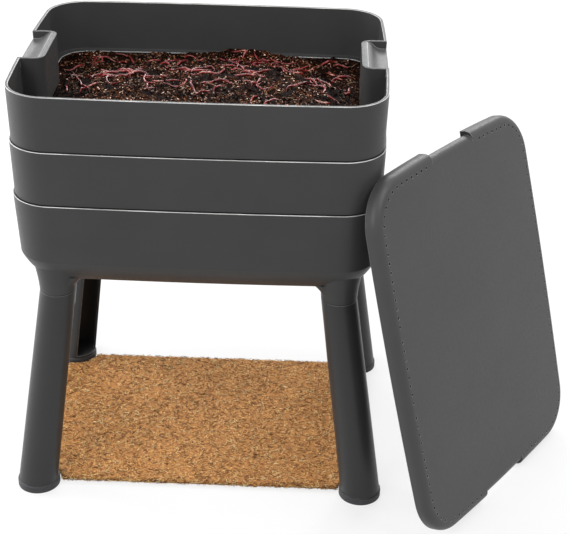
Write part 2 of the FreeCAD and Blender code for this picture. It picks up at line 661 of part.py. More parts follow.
SUMP_FLOOR = f"({SHELL_BOTTOM} + Sizes.shell_floor)"
NUT_FOOT = f"({SUMP_FLOOR} + Sizes.washer_thickness)"
FLANGE_TOP = f"({SHELL_BOTTOM} - Sizes.washer_thickness)"
FLANGE_FOOT = f"({FLANGE_TOP} - Sizes.tap_flange_thickness)"
ROTOR_AXIS = f"({FLANGE_FOOT} - Sizes.tap_axis_drop)"
HUB_BACK = "(Sizes.tap_cross_half + Sizes.face_gap)"


def make_washer(name, foot):
    disc = cylinder(f"{name}_disc", "Sizes.washer_radius", "Sizes.washer_thickness", **at(z=foot))
    hole = cylinder(f"{name}_hole", "Sizes.washer_hole_radius", "Sizes.washer_thickness", **at(z=foot))
    return cut(name, disc, hole)


def make_tap_nut(name):
    hexagon = feature("Part::Prism", f"{name}_hexagon", Circumradius="Sizes.tap_nut_flats / sqrt(3)",
                      Height="Sizes.tap_nut_height", **at(z=NUT_FOOT))
    hexagon.Polygon = 6
    # the corners of the upper face are turned off
    chamfer = feature("Part::Cone", f"{name}_turned",
                      Radius1="Sizes.tap_nut_flats / 2 + Sizes.tap_nut_height",
                      Radius2="Sizes.tap_nut_flats / 2 - Sizes.tap_nut_chamfer",
                      Height="Sizes.tap_nut_height", **at(z=NUT_FOOT))
    hole = cylinder(f"{name}_hole", "Sizes.tap_shank_radius + Sizes.tap_nut_gap", "Sizes.tap_nut_height",
                    **at(z=NUT_FOOT))
    return cut(name, common(f"{name}_blank", hexagon, chamfer), hole)


def make_tap_body(name):
    """Shank, flange, upright barrel, cross barrel and outlet with one waterway."""
    shank_top = f"{NUT_FOOT} + Sizes.tap_nut_height + Sizes.tap_shank_proud"
    outlet_foot = f"{ROTOR_AXIS} - Sizes.tap_outlet_drop"
    front = "-Sizes.tap_cross_half"
    solids = (
        cylinder(f"{name}_shank", "Sizes.tap_shank_radius", f"{shank_top} - {FLANGE_FOOT}",
                 **at(z=FLANGE_FOOT)),
        cylinder(f"{name}_flange", "Sizes.washer_radius", "Sizes.tap_flange_thickness", **at(z=FLANGE_FOOT)),
        cylinder(f"{name}_barrel", "Sizes.tap_barrel_radius",
                 "Sizes.tap_axis_drop + Sizes.tap_cross_radius + Sizes.tap_flange_thickness / 2",
                 **at(z=f"{ROTOR_AXIS} - Sizes.tap_cross_radius")),
        cylinder_to_back(f"{name}_cross", "Sizes.tap_cross_radius", "2 * Sizes.tap_cross_half",
                         **at(y=front, z=ROTOR_AXIS)),
        cylinder(f"{name}_outlet", "Sizes.tap_outlet_radius", "Sizes.tap_outlet_drop", **at(z=outlet_foot)),
    )
    bores = (
        cylinder(f"{name}_inlet_bore", "Sizes.tap_bore_radius", f"{shank_top} - {ROTOR_AXIS} + Sizes.overrun",
                 **at(z=ROTOR_AXIS)),
        cylinder(f"{name}_outlet_bore", "Sizes.tap_outlet_bore_radius",
                 "Sizes.tap_outlet_drop + Sizes.overrun", **at(z=f"{outlet_foot} - Sizes.overrun")),
        cylinder_to_back(f"{name}_rotor_bore", "Sizes.rotor_radius",
                         "2 * Sizes.tap_cross_half + 2 * Sizes.overrun",
                         **at(y=f"{front} - Sizes.overrun", z=ROTOR_AXIS)),
    )
    return cut(name, fuse(f"{name}_solids", *solids), fuse(f"{name}_bores", *bores))


def make_tap_rotor(name):
    """Plug with a port across it, a head behind, a square drive in front and two seal grooves."""
    radius = "Sizes.rotor_radius - Sizes.rotor_gap"
    drive_front = f"-{HUB_BACK} - Sizes.drive_length"
    shaft = cylinder_to_back(f"{name}_shaft", radius, f"2 * {HUB_BACK}",
                             **at(y=f"-{HUB_BACK}", z=ROTOR_AXIS))
    head = cylinder_to_back(f"{name}_head", "Sizes.rotor_head_radius", "Sizes.rotor_head_thickness",
                            **at(y=HUB_BACK, z=ROTOR_AXIS))
    place = at("-Sizes.drive_side / 2", drive_front, f"{ROTOR_AXIS} - Sizes.drive_side / 2")
    drive = box(f"{name}_drive", "Sizes.drive_side", "Sizes.drive_length + Sizes.drive_side / 2",
                "Sizes.drive_side", **place)
    port = cylinder(f"{name}_port", "Sizes.rotor_port_radius", "2 * Sizes.overrun",
                    **at(x="-Sizes.overrun", z=ROTOR_AXIS))
    port.Placement.Rotation = FreeCAD.Rotation(Vector(0, 1, 0), 90)
    screw_hole = cylinder_to_back(
        f"{name}_screw_hole", "Sizes.lever_screw_radius + Sizes.lever_screw_gap", "Sizes.lever_screw_length",
        **at(y=drive_front, z=ROTOR_AXIS),
    )
    removed = [port, screw_hole]
    width = "(Sizes.seal_thickness + 2 * Sizes.face_gap)"
    for side in (-1, 1):
        place = at(y=f"{side} * Sizes.seal_offset - {width} / 2", z=ROTOR_AXIS)
        end = "front" if side < 0 else "back"
        blank = cylinder_to_back(f"{name}_groove_{end}", "2 * Sizes.rotor_radius", width, **place)
        core = cylinder_to_back(f"{name}_core_{end}",
                                "Sizes.rotor_radius - Sizes.seal_thickness - Sizes.rotor_gap", width, **place)
        removed.append(cut(f"{name}_ring_{end}", blank, core))
    solid = fuse(f"{name}_solid", shaft, head, drive)
    return cut(name, solid, fuse(f"{name}_removed", *removed))


def make_seal_rings(name):
    rings = []
    for side in (-1, 1):
        end = "front" if side < 0 else "back"
        ring = feature(
            "Part::Torus", f"{name}_{end}",
            Radius1="Sizes.rotor_radius - Sizes.seal_thickness / 2 - Sizes.rotor_gap / 2",
            Radius2="Sizes.seal_thickness / 2",
            **at(y=f"{side} * Sizes.seal_offset", z=ROTOR_AXIS),
        )
        ring.Placement.Rotation = FreeCAD.Rotation(Vector(1, 0, 0), 90)
        rings.append(ring)
    pair = doc.addObject("Part::Compound", name)
    pair.Links = rings
    return pair


def make_tap_lever(name):
    """Lever that points to the left when the tap is shut."""
    front = f"-{HUB_BACK} - Sizes.drive_length"
    tip_x = "Sizes.lever_tip_radius - Sizes.lever_reach"
    hub = cylinder_to_back(f"{name}_hub", "Sizes.lever_hub_radius", "Sizes.drive_length",
                           **at(y=front, z=ROTOR_AXIS))
    tip = cylinder_to_back(f"{name}_tip", "Sizes.lever_tip_radius", "Sizes.drive_length",
                           **at(tip_x, front, ROTOR_AXIS))
    arm = box(f"{name}_arm", "Sizes.lever_reach - Sizes.lever_tip_radius", "Sizes.drive_length",
              "2 * Sizes.lever_tip_radius", **at(tip_x, front, f"{ROTOR_AXIS} - Sizes.lever_tip_radius"))
    half = "(Sizes.drive_side / 2 + Sizes.drive_gap)"
    square = box(f"{name}_square", f"2 * {half}", "Sizes.drive_length", f"2 * {half}",
                 **at(f"-{half}", front, f"{ROTOR_AXIS} - {half}"))
    return cut(name, fuse(f"{name}_solid", hub, tip, arm), square)


def make_lever_screw(name):
    hub_front = f"-{HUB_BACK} - Sizes.drive_length"
    shank = cylinder_to_back(f"{name}_shank", "Sizes.lever_screw_radius",
                             "Sizes.lever_screw_length + Sizes.lever_screw_head_height / 2 - Sizes.face_gap",
                             **at(y=f"{hub_front} - Sizes.lever_screw_head_height / 2", z=ROTOR_AXIS))
    head = cylinder_to_back(f"{name}_head", "Sizes.lever_screw_head_radius", "Sizes.lever_screw_head_height",
                            **at(y=f"{hub_front} - Sizes.lever_screw_head_height", z=ROTOR_AXIS))
    return fuse(name, shank, head)


LID_EDGE = "(Sizes.lid_gap + Sizes.lid_skirt)"


def rolled_block(name, inset, low, high, roll):
    """Block with the outline's plan and a rolled upper edge."""
    block = extrusion(f"{name}_block", outline(f"{name}_plan", inset, low), f"{high} - ({low})")
    doc.recompute()
    rolled = doc.addObject("Part::Fillet", name)
    rolled.Base = block
    radius = value(roll)
    top = block.Shape.BoundBox.ZMax - radius / 2
    rolled.Edges = [
        (number, radius, radius)
        for number, edge in enumerate(block.Shape.Edges, 1)
        if edge.BoundBox.ZMin > top
    ]
    return rolled


def lid_form(name, thickness, low, high):
    """Lid's outside, or the hollow inside it, with a recess in the middle of each short side."""
    roll = f"Sizes.lid_roll - ({thickness})"
    edge = f"{thickness} - {LID_EDGE}"
    full = rolled_block(f"{name}_full", edge, low, high, roll)
    short = rolled_block(f"{name}_short", f"{edge} + Sizes.lid_notch_depth", low, high, roll)
    half_width = f"Sizes.lid_notch_width / 2 + {thickness}"
    recess = lid_recess(f"{name}_recess", half_width, f"{high} + Sizes.overrun")
    return fuse(name, cut(f"{name}_notched", full, recess), short)


def lid_recess(name, half_width, high):
    """Boxes over both recesses of the lid, from inside the rolled border outwards."""
    low = "-2 * Sizes.overrun"
    left = "Sizes.plan_length / 2 + Sizes.lid_gap - Sizes.lid_notch_depth - Sizes.lid_roll"
    bar = box(f"{name}_bar", "Sizes.lid_roll + Sizes.lid_notch_depth + 2 * Sizes.overrun",
              f"2 * ({half_width})", f"{high} - ({low})", **at(left, f"-({half_width})", low))
    return both_ends(name, bar)


def vent_points():
    """Places of the vent holes in one quarter of the lid, along a line inside its edge."""
    inset = value(f"Sizes.vent_inset - {LID_EDGE}")
    x, y = outline_corner()
    deep, back = value(LONG_CENTRE), value(SHORT_CENTRE)
    lean_long, lean_short = math.atan2(x, deep - y), math.atan2(-y, x + back)
    long_arc, corner_arc, short_arc = (
        value(f"{radius} - ({inset})") for radius in (LONG_RADIUS, "Sizes.corner_radius", SHORT_RADIUS)
    )
    first = long_arc * lean_long
    second = first + corner_arc * (math.pi / 2 - lean_long - lean_short)
    last = value("Sizes.lid_notch_width / 2 + Sizes.vent_inset / 2")
    pitch = value("Sizes.vent_pitch")
    run = pitch / 2
    count = 0
    points = []
    while True:
        if run < first:
            turn = run / long_arc
            spot = (long_arc * math.sin(turn), deep - long_arc * math.cos(turn))
        elif run < second:
            turn = lean_long + (run - first) / corner_arc
            spot = (x + corner_arc * math.sin(turn), y - corner_arc * math.cos(turn))
        else:
            turn = math.pi / 2 - lean_short + (run - second) / short_arc
            spot = (short_arc * math.sin(turn) - back, -short_arc * math.cos(turn))
            if spot[1] > -last:
                return points
        points.append(spot)
        count += 1
        run += value("Sizes.vent_break") if count == value("Sizes.vent_middle_count") else pitch


def make_lid(name):
    """Shallow cover, made lying flat with its outer face up."""
    outside = lid_form(f"{name}_outside", "0", "0", "Sizes.lid_height")
    inside = lid_form(f"{name}_inside", "Sizes.lid_skirt", "-Sizes.overrun",
                      "Sizes.lid_height - Sizes.lid_panel")
    under = lid_recess(f"{name}_under", "Sizes.lid_notch_width / 2",
                       "Sizes.lid_height - Sizes.lid_notch_skirt")
    radius = value("Sizes.vent_diameter / 2")
    height = value("2 * Sizes.lid_height")
    bars = []
    for x, y in vent_points():
        for side_x in (-1, 1):
            for side_y in (-1, 1):
                bars.append(Part.makeCylinder(radius, height, Vector(side_x * x, side_y * y, 0)))
    vents = doc.addObject("Part::Feature", f"{name}_vents")
    vents.Shape = Part.makeCompound(bars)
    return cut(name, outside, fuse(f"{name}_removed", inside, under, vents)), outside


def lean_lid(lid, outside, stack):
    """Stand the lid on its short side on the floor and lean it on the stack's front right corner."""
    turn = math.radians(value("Sizes.lid_turn"))
    lean = math.radians(value("Sizes.lid_lean"))
    ahead = Vector(math.cos(turn), -math.sin(turn), 0)
    face = ahead * math.cos(lean) + UP * math.sin(lean)
    rise = UP * math.cos(lean) - ahead * math.sin(lean)
    side = face.cross(rise)
    tip = FreeCAD.Rotation(face, -value("Sizes.lid_tip"))
    rotation = FreeCAD.Rotation(tip.multVec(rise), tip.multVec(side), face)
    corner = Vector(*outline_corner(), 0)
    gap = value("Sizes.rest_gap")

    # stand on the floor
    far = value("Sizes.plan_length")
    place = corner - side * value("Sizes.lid_shift") + ahead * 2 * far
    probe = outside.Shape.copy()
    probe.Placement = FreeCAD.Placement(place, rotation)
    floor = Part.makePlane(10 * far, 10 * far, Vector(-5 * far, -5 * far, -far))
    place.z = far - probe.distToShape(floor)[0]

    # move towards the stack by the gap that is left, which can never make them overlap
    while True:
        probe.Placement = FreeCAD.Placement(place, rotation)
        left = probe.distToShape(stack)[0] - gap
        if left < gap / 100:
            break
        place -= ahead * left
    lid.Placement = FreeCAD.Placement(place, rotation)
    print("lid stands at", place, "facing", face)


def make_compost(name):
    """Bedding that fills the upper tray's nested part and is heaped towards the middle."""
    rim = f"{BASE_RIM} + 2 * Sizes.tray_pitch"
    floor = f"{rim} - Sizes.tray_pitch - Sizes.nest_depth + Sizes.tray_floor"
    top = f"{rim} - Sizes.compost_drop"
    wall = "Sizes.nest_inset + Sizes.nest_wall + Sizes.rest_gap"
    fill = tub(f"{name}_fill", (wall, top), (f"{wall} + Sizes.nest_taper", f"{floor} + Sizes.rest_gap"))
    ovals = []
    for number, (step, level) in enumerate((
            ("0", f"{floor} + Sizes.tray_floor"), ("0", top),
            ("Sizes.heap_slope", f"{top} + Sizes.heap_height")), 1):
        inset = f"({wall} + Sizes.compost_edge + {step})"
        ovals.append(feature("Part::Ellipse", f"{name}_oval_{number}",
                             MajorRadius=f"Sizes.plan_length / 2 - {inset}",
                             MinorRadius=f"Sizes.plan_width / 2 - {inset}", **at(z=level)))
    heap = loft(f"{name}_heap", ovals)
    block = both_ends(
        f"{name}_blocks",
        scoop_slab(f"{name}_block", "Sizes.scoop_wall + Sizes.scoop_gap + Sizes.nest_wall + Sizes.rest_gap",
                   f"{floor} - Sizes.overrun", f"{top} + Sizes.overrun"),
    )
    return cut(name, fuse(f"{name}_heaped", fill, heap), block)


def make_mat(name):
    """Mat on the floor with its corners cut out round the foot caps."""
    length = "Sizes.plan_length - 2 * Sizes.mat_end_inset"
    sheet_of_coir = box(f"{name}_uncut", length, "Sizes.mat_depth", "Sizes.mat_thickness",
                        **at(f"-({length}) / 2", "-Sizes.mat_depth / 2", "0"))
    notches = four_corners(f"{name}_notch", make_mat_notch)
    return cut(name, sheet_of_coir, fuse(f"{name}_notches", *notches))


def make_mat_notch(name):
    return cylinder(name, "Sizes.cap_radius + Sizes.mat_gap", "2 * Sizes.cap_height",
                    **at(*leg_axis("Sizes.cap_height"), "-Sizes.cap_height"))


def write(parts):
    """Check every object and write each piece to its own file."""
    for item in doc.Objects:
        if "Invalid" in item.State or "Error" in item.State:
            raise RuntimeError(f"{item.Name} did not build: {item.State}")
    for item in parts:
        if item.Shape.isNull() or not item.Shape.isValid():
            raise RuntimeError(f"{item.Label} has no valid shape")
        if not item.Shape.Solids:
            raise RuntimeError(f"{item.Label} has no solid")
    os.makedirs("parts", exist_ok=True)
    for item in parts:
        item.Shape.exportStep(f"parts/{item.Label}.step")
        print(item.Label, len(item.Shape.Solids), round(item.Shape.Volume))


lid, lid_outside = make_lid("lid")
pieces = [
    lid,
    make_tray("tray_upper", f"({BASE_RIM} + 2 * Sizes.tray_pitch)"),
    make_tray("tray_lower", f"({BASE_RIM} + Sizes.tray_pitch)"),
    make_base("base_reservoir"),
    *four_corners("leg", make_leg),
    *four_corners("foot_cap", make_cap),
    make_compost("compost_bed"),
    make_mat("coir_mat"),
    make_washer("tap_washer_upper", SUMP_FLOOR),
    make_washer("tap_washer_lower", FLANGE_TOP),
    make_tap_nut("tap_nut"),
    make_tap_body("tap_body"),
    make_tap_rotor("tap_rotor"),
    make_seal_rings("tap_seal_rings"),
    make_tap_lever("tap_lever"),
    make_lever_screw("tap_lever_screw"),
]
doc.recompute()
leaned_on = ("tray_upper_band", "tray_lower_band", "base_reservoir_walls")
stack = [doc.getObject(name).Shape for name in leaned_on]
lean_lid(lid, lid_outside, Part.makeCompound(stack))
doc.recompute()
write(pieces)
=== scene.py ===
import json
import math
import random

import bpy
from mathutils import Euler, Matrix, Vector, noise


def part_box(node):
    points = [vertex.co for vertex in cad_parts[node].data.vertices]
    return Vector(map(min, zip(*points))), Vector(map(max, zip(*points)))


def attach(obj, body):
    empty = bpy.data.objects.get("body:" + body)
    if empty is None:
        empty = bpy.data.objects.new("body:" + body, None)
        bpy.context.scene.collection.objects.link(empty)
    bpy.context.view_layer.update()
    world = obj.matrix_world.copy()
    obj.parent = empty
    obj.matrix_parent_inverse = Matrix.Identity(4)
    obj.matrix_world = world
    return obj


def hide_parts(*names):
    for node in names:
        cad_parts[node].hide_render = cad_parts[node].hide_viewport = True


# Two-tray wormery with its bedding, worms, coir mat and leaning lid.
# Lengths are in metres, in the frame of the solids.
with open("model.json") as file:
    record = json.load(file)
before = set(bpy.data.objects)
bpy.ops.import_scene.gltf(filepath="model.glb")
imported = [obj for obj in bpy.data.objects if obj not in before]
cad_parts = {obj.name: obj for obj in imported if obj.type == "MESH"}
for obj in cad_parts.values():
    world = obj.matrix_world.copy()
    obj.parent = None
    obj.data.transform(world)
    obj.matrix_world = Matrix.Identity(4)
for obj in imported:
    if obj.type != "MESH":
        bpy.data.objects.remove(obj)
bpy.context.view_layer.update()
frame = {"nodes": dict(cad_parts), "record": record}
nodes = frame["nodes"]
chance = random.Random(7)

# rim outline of the trays: two long and two short bowed sides joined by corner arcs
HALF_LENGTH = 0.280
HALF_WIDTH = 0.225
LONG_BOW = 0.006
SHORT_BOW = 0.007
CORNER = 0.064
LONG_RADIUS = (HALF_LENGTH**2 + LONG_BOW**2) / (2 * LONG_BOW)
SHORT_RADIUS = (HALF_WIDTH**2 + SHORT_BOW**2) / (2 * SHORT_BOW)

# levels of the three rims, how far their edges are rounded, and the colour of the highlight painted on
# the rounding
RIM_LEVELS = (0.516, 0.601, 0.686)
RIM_ROUNDING = 0.0008
PAINTED_EDGE_HIGHLIGHT = (0.80, 0.80, 0.79)
# top of the legs, where they meet their sockets
SHOULDER_LEVEL = 0.353
# painted shade in the seam at the foot of a tray or a socket: height, least distance from its ends and
# brightness
SEAM_HEIGHT = 0.0014
SEAM_MARGIN = 0.0001
SEAM_PAINTED_SHADE = 0.05
# height of the rim's outer edge above a scoop's landing
SCOOP_DEPTH = 0.014
# how much paler a painted sheen makes the faces of the scoops that look up
UPWARD_SHEEN_SHARE = 2.3
# stretches over which painted bands fade out
SOFT_FADE = 0.001
EDGE_FADE = 0.0003
SEAM_FADE = 0.0002
# height of a face's normal: where faces begin to look up, and where a rounding starts and ends
LOOKS_UP = (0.5, 0.9)
ROUNDING_STARTS = (0.1, 0.3)
ROUNDING_ENDS = (0.94, 0.98)

# ledge in the upper tray: level, height of the band where a highlight is painted on its edge, width, and
# the plan of its middle line
LEDGE_LEVEL = 0.6045
LEDGE_BAND = 0.0012
LEDGE_WIDTH = 0.0042
LEDGE_CORNER = (0.216, 0.161, 1.0)
LEDGE_MIDDLE = 0.0502
# blocks of the scoops inside the upper tray, and where the ledge at their flanks ends
SCOOP_BLOCK_X = 0.2337
SCOOP_BLOCK_Y = 0.0688
LEDGE_END_X = 0.256

# greys of the moulded pieces
TRAY_GREY = (0.047, 0.047, 0.047)
LID_GREY = (0.051, 0.051, 0.051)
LEG_GREY = (0.034, 0.034, 0.034)
TAP_GREY = (0.018, 0.018, 0.019)
CAP_GREY = (0.024, 0.024, 0.026)
SEAL_GREY = (0.014, 0.014, 0.014)

# bedding in the upper tray: plan, levels and fineness of its grid
BED_INSET = 0.0205
BED_EDGE = 0.0005
BED_HALF_LENGTH = 0.26
BED_HALF_WIDTH = 0.205
BED_FLOOR = 0.5445
BED_LEVEL = 0.6032
BED_STEP = 0.0024
# low heap over the whole bed, and a pile against the back wall
HEAP_HALF_LENGTH = 0.246
HEAP_HALF_WIDTH = 0.191
HEAP_SLOPE = 0.36
HEAP_HEIGHT = 0.0145
PILE_X = 0.045
PILE_FRONT = 0.165
PILE_SLOPE = 0.03
PILE_SPREAD = 0.062
PILE_HEIGHT = 0.011
# hills, lumps and crumbs of its surface: waves per metre, height and seed
BED_RELIEF = (
    (17, 0.0028, 0.3),
    (62, 0.0034, 1.7),
    (210, 0.0024, 4.1),
)

# shares by which a crumb is stretched along each axis and dented at each corner
CRUMB_STRETCH = (0.55, 1.25)
CRUMB_DENT = (0.78, 1.15)
# fine crumbs: number, least size, what the largest have more, how rare those are, distance from the edge
FINE_CRUMBS = 7600
FINE_CRUMB_LEAST = 0.0007
FINE_CRUMB_MORE = 0.0015
FINE_CRUMB_POWER = 2.2
FINE_CRUMB_MARGIN = 0.003
# lumps on the bedding
LUMPS = 150
LUMP_SIZE = (0.0022, 0.0042)
LUMP_MARGIN = 0.009
# crumbs spilled on the ledge, and the share of them at the ends of the scoops' blocks
SPILLED_CRUMBS = 1500
SPILLED_SIZE = (0.0012, 0.0026)
SPILLED_AT_END = 0.7
# shares of their size by which crumbs stand up
FINE_CRUMB_LIFT = 0.3
LUMP_LIFT = 0.1
SPILLED_LIFT = 0.6

# worms: sizes, step along their path and turning in radians per metre
WORM_LENGTH = (0.03, 0.07)
WORM_RADIUS = (0.0013, 0.0019)
WORM_STEP = 0.0022
WORM_FIRST_BEND = 45
WORM_BEND_CHANGE = 22
WORM_BEND_LIMIT = 95
# a worm looks this far ahead, turns away near the bed's edge and slows down close to it
WORM_SIGHT = 0.012
WORM_NEAR_EDGE = 0.006
WORM_AT_EDGE = 0.004
WORM_TURN_AWAY = 0.5
WORM_SLOWED = 0.05
WORM_MARGIN = 0.008
# worms lie at this height over the bedding, and rise and dip along their length
WORM_LIFT = 0.0011
WORM_RISE = 0.0019
WORM_WAVES = 160
# groups of worms seen on the bedding: middle, spread, number
WORM_GROUPS = (
    ((-0.205, 0.055), 0.026, 7),
    ((-0.215, 0.145), 0.022, 3),
    ((-0.170, 0.120), 0.024, 4),
    ((-0.135, 0.065), 0.030, 6),
    ((-0.085, 0.100), 0.034, 9),
    ((-0.100, 0.030), 0.030, 5),
    ((-0.040, 0.150), 0.030, 5),
    ((-0.020, 0.060), 0.030, 6),
    ((0.030, 0.180), 0.026, 4),
    ((0.040, 0.105), 0.030, 7),
    ((0.060, 0.040), 0.030, 8),
    ((0.095, 0.150), 0.032, 5),
    ((0.130, 0.090), 0.030, 6),
    ((0.160, 0.045), 0.028, 6),
    ((0.160, 0.160), 0.030, 4),
    ((0.205, 0.100), 0.026, 4),
    ((0.215, 0.020), 0.022, 3),
    ((0.000, -0.080), 0.110, 14),
    ((-0.130, -0.110), 0.080, 9),
    ((0.130, -0.110), 0.080, 9),
)

# straws on the bedding: number, distance from its edge, size, greatest bend and tilt, and height
STRAWS = 300
STRAW_MARGIN = 0.012
STRAW_LENGTH = (0.004, 0.016)
STRAW_RADIUS = (0.0002, 0.0005)
STRAW_BEND = 40
STRAW_TILT = 0.25
STRAW_LIFT = 0.0014

# coir mat: grid, ragged edge (waves per metre, depth, seed and mean), cut-outs for the feet
MAT_STEP = 0.003
MAT_INSET = 0.0015
MAT_FRAY = (70, 0.0016, 5.5)
MAT_FRAY_MEAN = 0.0012
MAT_NOTCH = (0.26336, 0.19562)
MAT_NOTCH_RADIUS = 0.0343
# pile of the mat: depth under its top, and waves per metre, height and seed of its unevenness
PILE_DEPTH = 0.0014
MAT_RELIEF = (
    (45, 0.0007, 9.2),
    (190, 0.0008, 2.6),
)
# loose fibres of each tone: on the top, in the long edges and in the short edges
TOP_FIBRES = 5600
LONG_EDGE_FIBRES = 800
SHORT_EDGE_FIBRES = 500
EDGE_LEVELS = (0.001, 0.0065)
FIBRE_LENGTH = (0.0042, 0.0095)
FIBRE_RADIUS = (0.00020, 0.00042)
FIBRE_BEND = 70
FIBRE_TILT = 0.12
SHORTEST_FIBRE = 0.0035
FIBRE_OVERHANG = 0.0015
# how high fibres stand over the pile, and the highest they come over the mat
FIBRE_LIFT = 0.0005
FIBRE_TOP = 0.0006
FIBRE_TONES = (
    ("coir_fibres_dark", (0.055, 0.016, 0.003), (0.30, 0.11, 0.024)),
    ("coir_fibres_light", (0.95, 0.54, 0.17), (1.0, 0.86, 0.46)),
)

# camera at the photo's viewing angle: place, turns in radians, lens and sensor in millimetres
CAMERA_PLACE = (0.17363, -2.03173, 1.40962)
CAMERA_YAW = -0.0225
CAMERA_PITCH = 0.4959
CAMERA_ROLL = 0.0227
CAMERA_LENS = 87.98
CAMERA_SENSOR = 36

# floor: reach, own glow where it is seen, and its grey where it is seen and where it only gives light
FLOOR_REACH = 6.0
FLOOR_GLOW = 0.70
FLOOR_SEEN = (0.24, 0.24, 0.24)
FLOOR_SHADE = (0.60, 0.60, 0.60)
# strength of the surroundings where they only give light
WORLD_LIGHT = 0.48
# lamps, all aimed at one place: name, place, width and height, power
LAMP_TARGET = (0.1, 0, 0.4)
LAMPS = (
    ("key", (-1.4, -2.2, 2.4), (1.8, 1.8), 43),
    ("fill", (1.5, -0.6, 2.6), (1.6, 1.6), 33),
    ("back", (0.2, 3.0, 2.4), (3.6, 1.2), 100),
    ("side", (-2.2, 0.3, 0.8), (1.2, 1.0), 46),
)


class Nodes:
    """Nodes of a material or of the world."""

    def __init__(self, owner, surface):
        owner.use_nodes = True
        self.tree = owner.node_tree
        self.surface = self.tree.nodes[surface]

    def add(self, kind, settings=None, **inputs):
        node = self.tree.nodes.new(f"ShaderNode{kind}")
        for key, setting in (settings or {}).items():
            setattr(node, key, setting)
        for key, source in inputs.items():
            self.put(source, node.inputs[key.replace("_", " ")])
        return node

    def put(self, source, socket):
        if isinstance(source, bpy.types.NodeSocket):
            self.tree.links.new(source, socket)
        else:
            socket.default_value = source

    def set(self, **inputs):
        for key, source in inputs.items():
            self.put(source, self.surface.inputs[key.replace("_", " ")])

    def mix(self, factor, first, second):
        node = self.add("Mix", {"data_type": "RGBA"})
        for index, source in ((0, factor), (6, first), (7, second)):
            if isinstance(source, tuple):
                source = (*source, 1)
            self.put(source, node.inputs[index])
        return node.outputs[2]

    def spread(self, factor, low, high, start=0.0, end=1.0):
        """Factor from start to end spread over low to high."""
        node = self.add("MapRange", Value=factor, From_Min=start, From_Max=end, To_Min=low, To_Max=high)
        return node.outputs["Result"]

    def maths(self, operation, first, second=0.0):
        node = self.add("Math", {"operation": operation})
        self.put(first, node.inputs[0])
        self.put(second, node.inputs[1])
        return node.outputs["Value"]

    def product(self, first, *others):
        for other in others:
            first = self.maths("MULTIPLY", first, other)
        return first

    def vector(self, operation, *sources, output="Vector"):
        node = self.add("VectorMath", {"operation": operation})
        for source, socket in zip(sources, node.inputs):
            self.put(source, socket)
        return node.outputs[output]

    def upright(self, vector):
        """Upright part of a vector."""
        return self.add("SeparateXYZ", Vector=vector).outputs["Z"]

    def seen(self):
        """One for rays from the camera and for reflected and transmitted ones, zero for lighting."""
        rays = self.add("LightPath").outputs
        indirect = self.maths("MAXIMUM", rays["Is Glossy Ray"], rays["Is Transmission Ray"])
        return self.maths("MAXIMUM", rays["Is Camera Ray"], indirect)


class Shader(Nodes):
    """Nodes of one material, with patterns that stay on its piece."""

    def __init__(self, name):
        self.material = bpy.data.materials.new(name)
        super().__init__(self.material, "Principled BSDF")
        self.place = self.add("TexCoord").outputs["Object"]

    def noise(self, scale, detail, roughness=0.5, place=None):
        return self.add("TexNoise", Vector=place or self.place, Scale=scale, Detail=detail,
                        Roughness=roughness).outputs["Fac"]

    def stretched(self, scale, **inputs):
        """Place with its own scale along each axis."""
        return self.add("Mapping", Vector=self.place, Scale=scale, **inputs).outputs["Vector"]

    def ramp(self, factor, *stops):
        node = self.add("ValToRGB", Fac=factor)
        colours = node.color_ramp.elements
        while len(colours) < len(stops):
            colours.new(0.5)
        for element, (position, colour) in zip(colours, stops):
            element.position = position
            element.color = (*colour, 1)
        return node.outputs["Color"]

    def rounded(self, radius, samples):
        """Normal that looks rounded at edges."""
        return self.add("Bevel", {"samples": samples}, Radius=radius).outputs["Normal"]

    def bump(self, height, distance, strength, normal=None):
        node = self.add("Bump", Height=height, Distance=distance, Strength=strength)
        if normal is not None:
            self.put(normal, node.inputs["Normal"])
        return node.outputs["Normal"]


def scaled(colour, share):
    """Colour made paler or darker by a share."""
    return tuple(min(1.0, channel * share) for channel in colour)


def level_mask(paint, levels, half, soft):
    """One within half a band's height of any of the levels, fading out over a soft stretch."""
    level = paint.upright(paint.place)
    near = 1.0
    for middle in levels:
        away = paint.maths("ABSOLUTE", paint.maths("SUBTRACT", level, middle))
        near = paint.maths("MINIMUM", near, away)
    return paint.spread(near, 1, 0, half, half + soft)


def near_rims_and_scoops(paint):
    """One at the rims and scoops, where paler edges are kept: partly worn, partly painted highlight."""
    half = SCOOP_DEPTH / 2
    return level_mask(paint, [rim - half for rim in RIM_LEVELS], half, SOFT_FADE)


def ledge_lip(paint):
    """One at the level of the upper tray's ledge, inside the middle of the ledge's width, where its edge
    gets a painted highlight.
    """
    away = paint.vector("ABSOLUTE", paint.place)
    away = paint.vector("SUBTRACT", away, LEDGE_CORNER)
    away = paint.vector("MAXIMUM", away, (0, 0, 0))
    from_corner = paint.vector("LENGTH", away, output="Value")
    inner = paint.spread(from_corner, 1, 0, LEDGE_MIDDLE, LEDGE_MIDDLE + SOFT_FADE)
    return paint.product(inner, level_mask(paint, [LEDGE_LEVEL], LEDGE_BAND, EDGE_FADE))


def painted_seam_shade(paint):
    """One on the foot of each tray and of the sockets, over what they stand on, where shade is painted
    into the seam.
    """
    half = SEAM_HEIGHT / 2
    levels = [foot + half for foot in (SHOULDER_LEVEL, *RIM_LEVELS)]
    return level_mask(paint, levels, half - SEAM_MARGIN, SEAM_FADE)


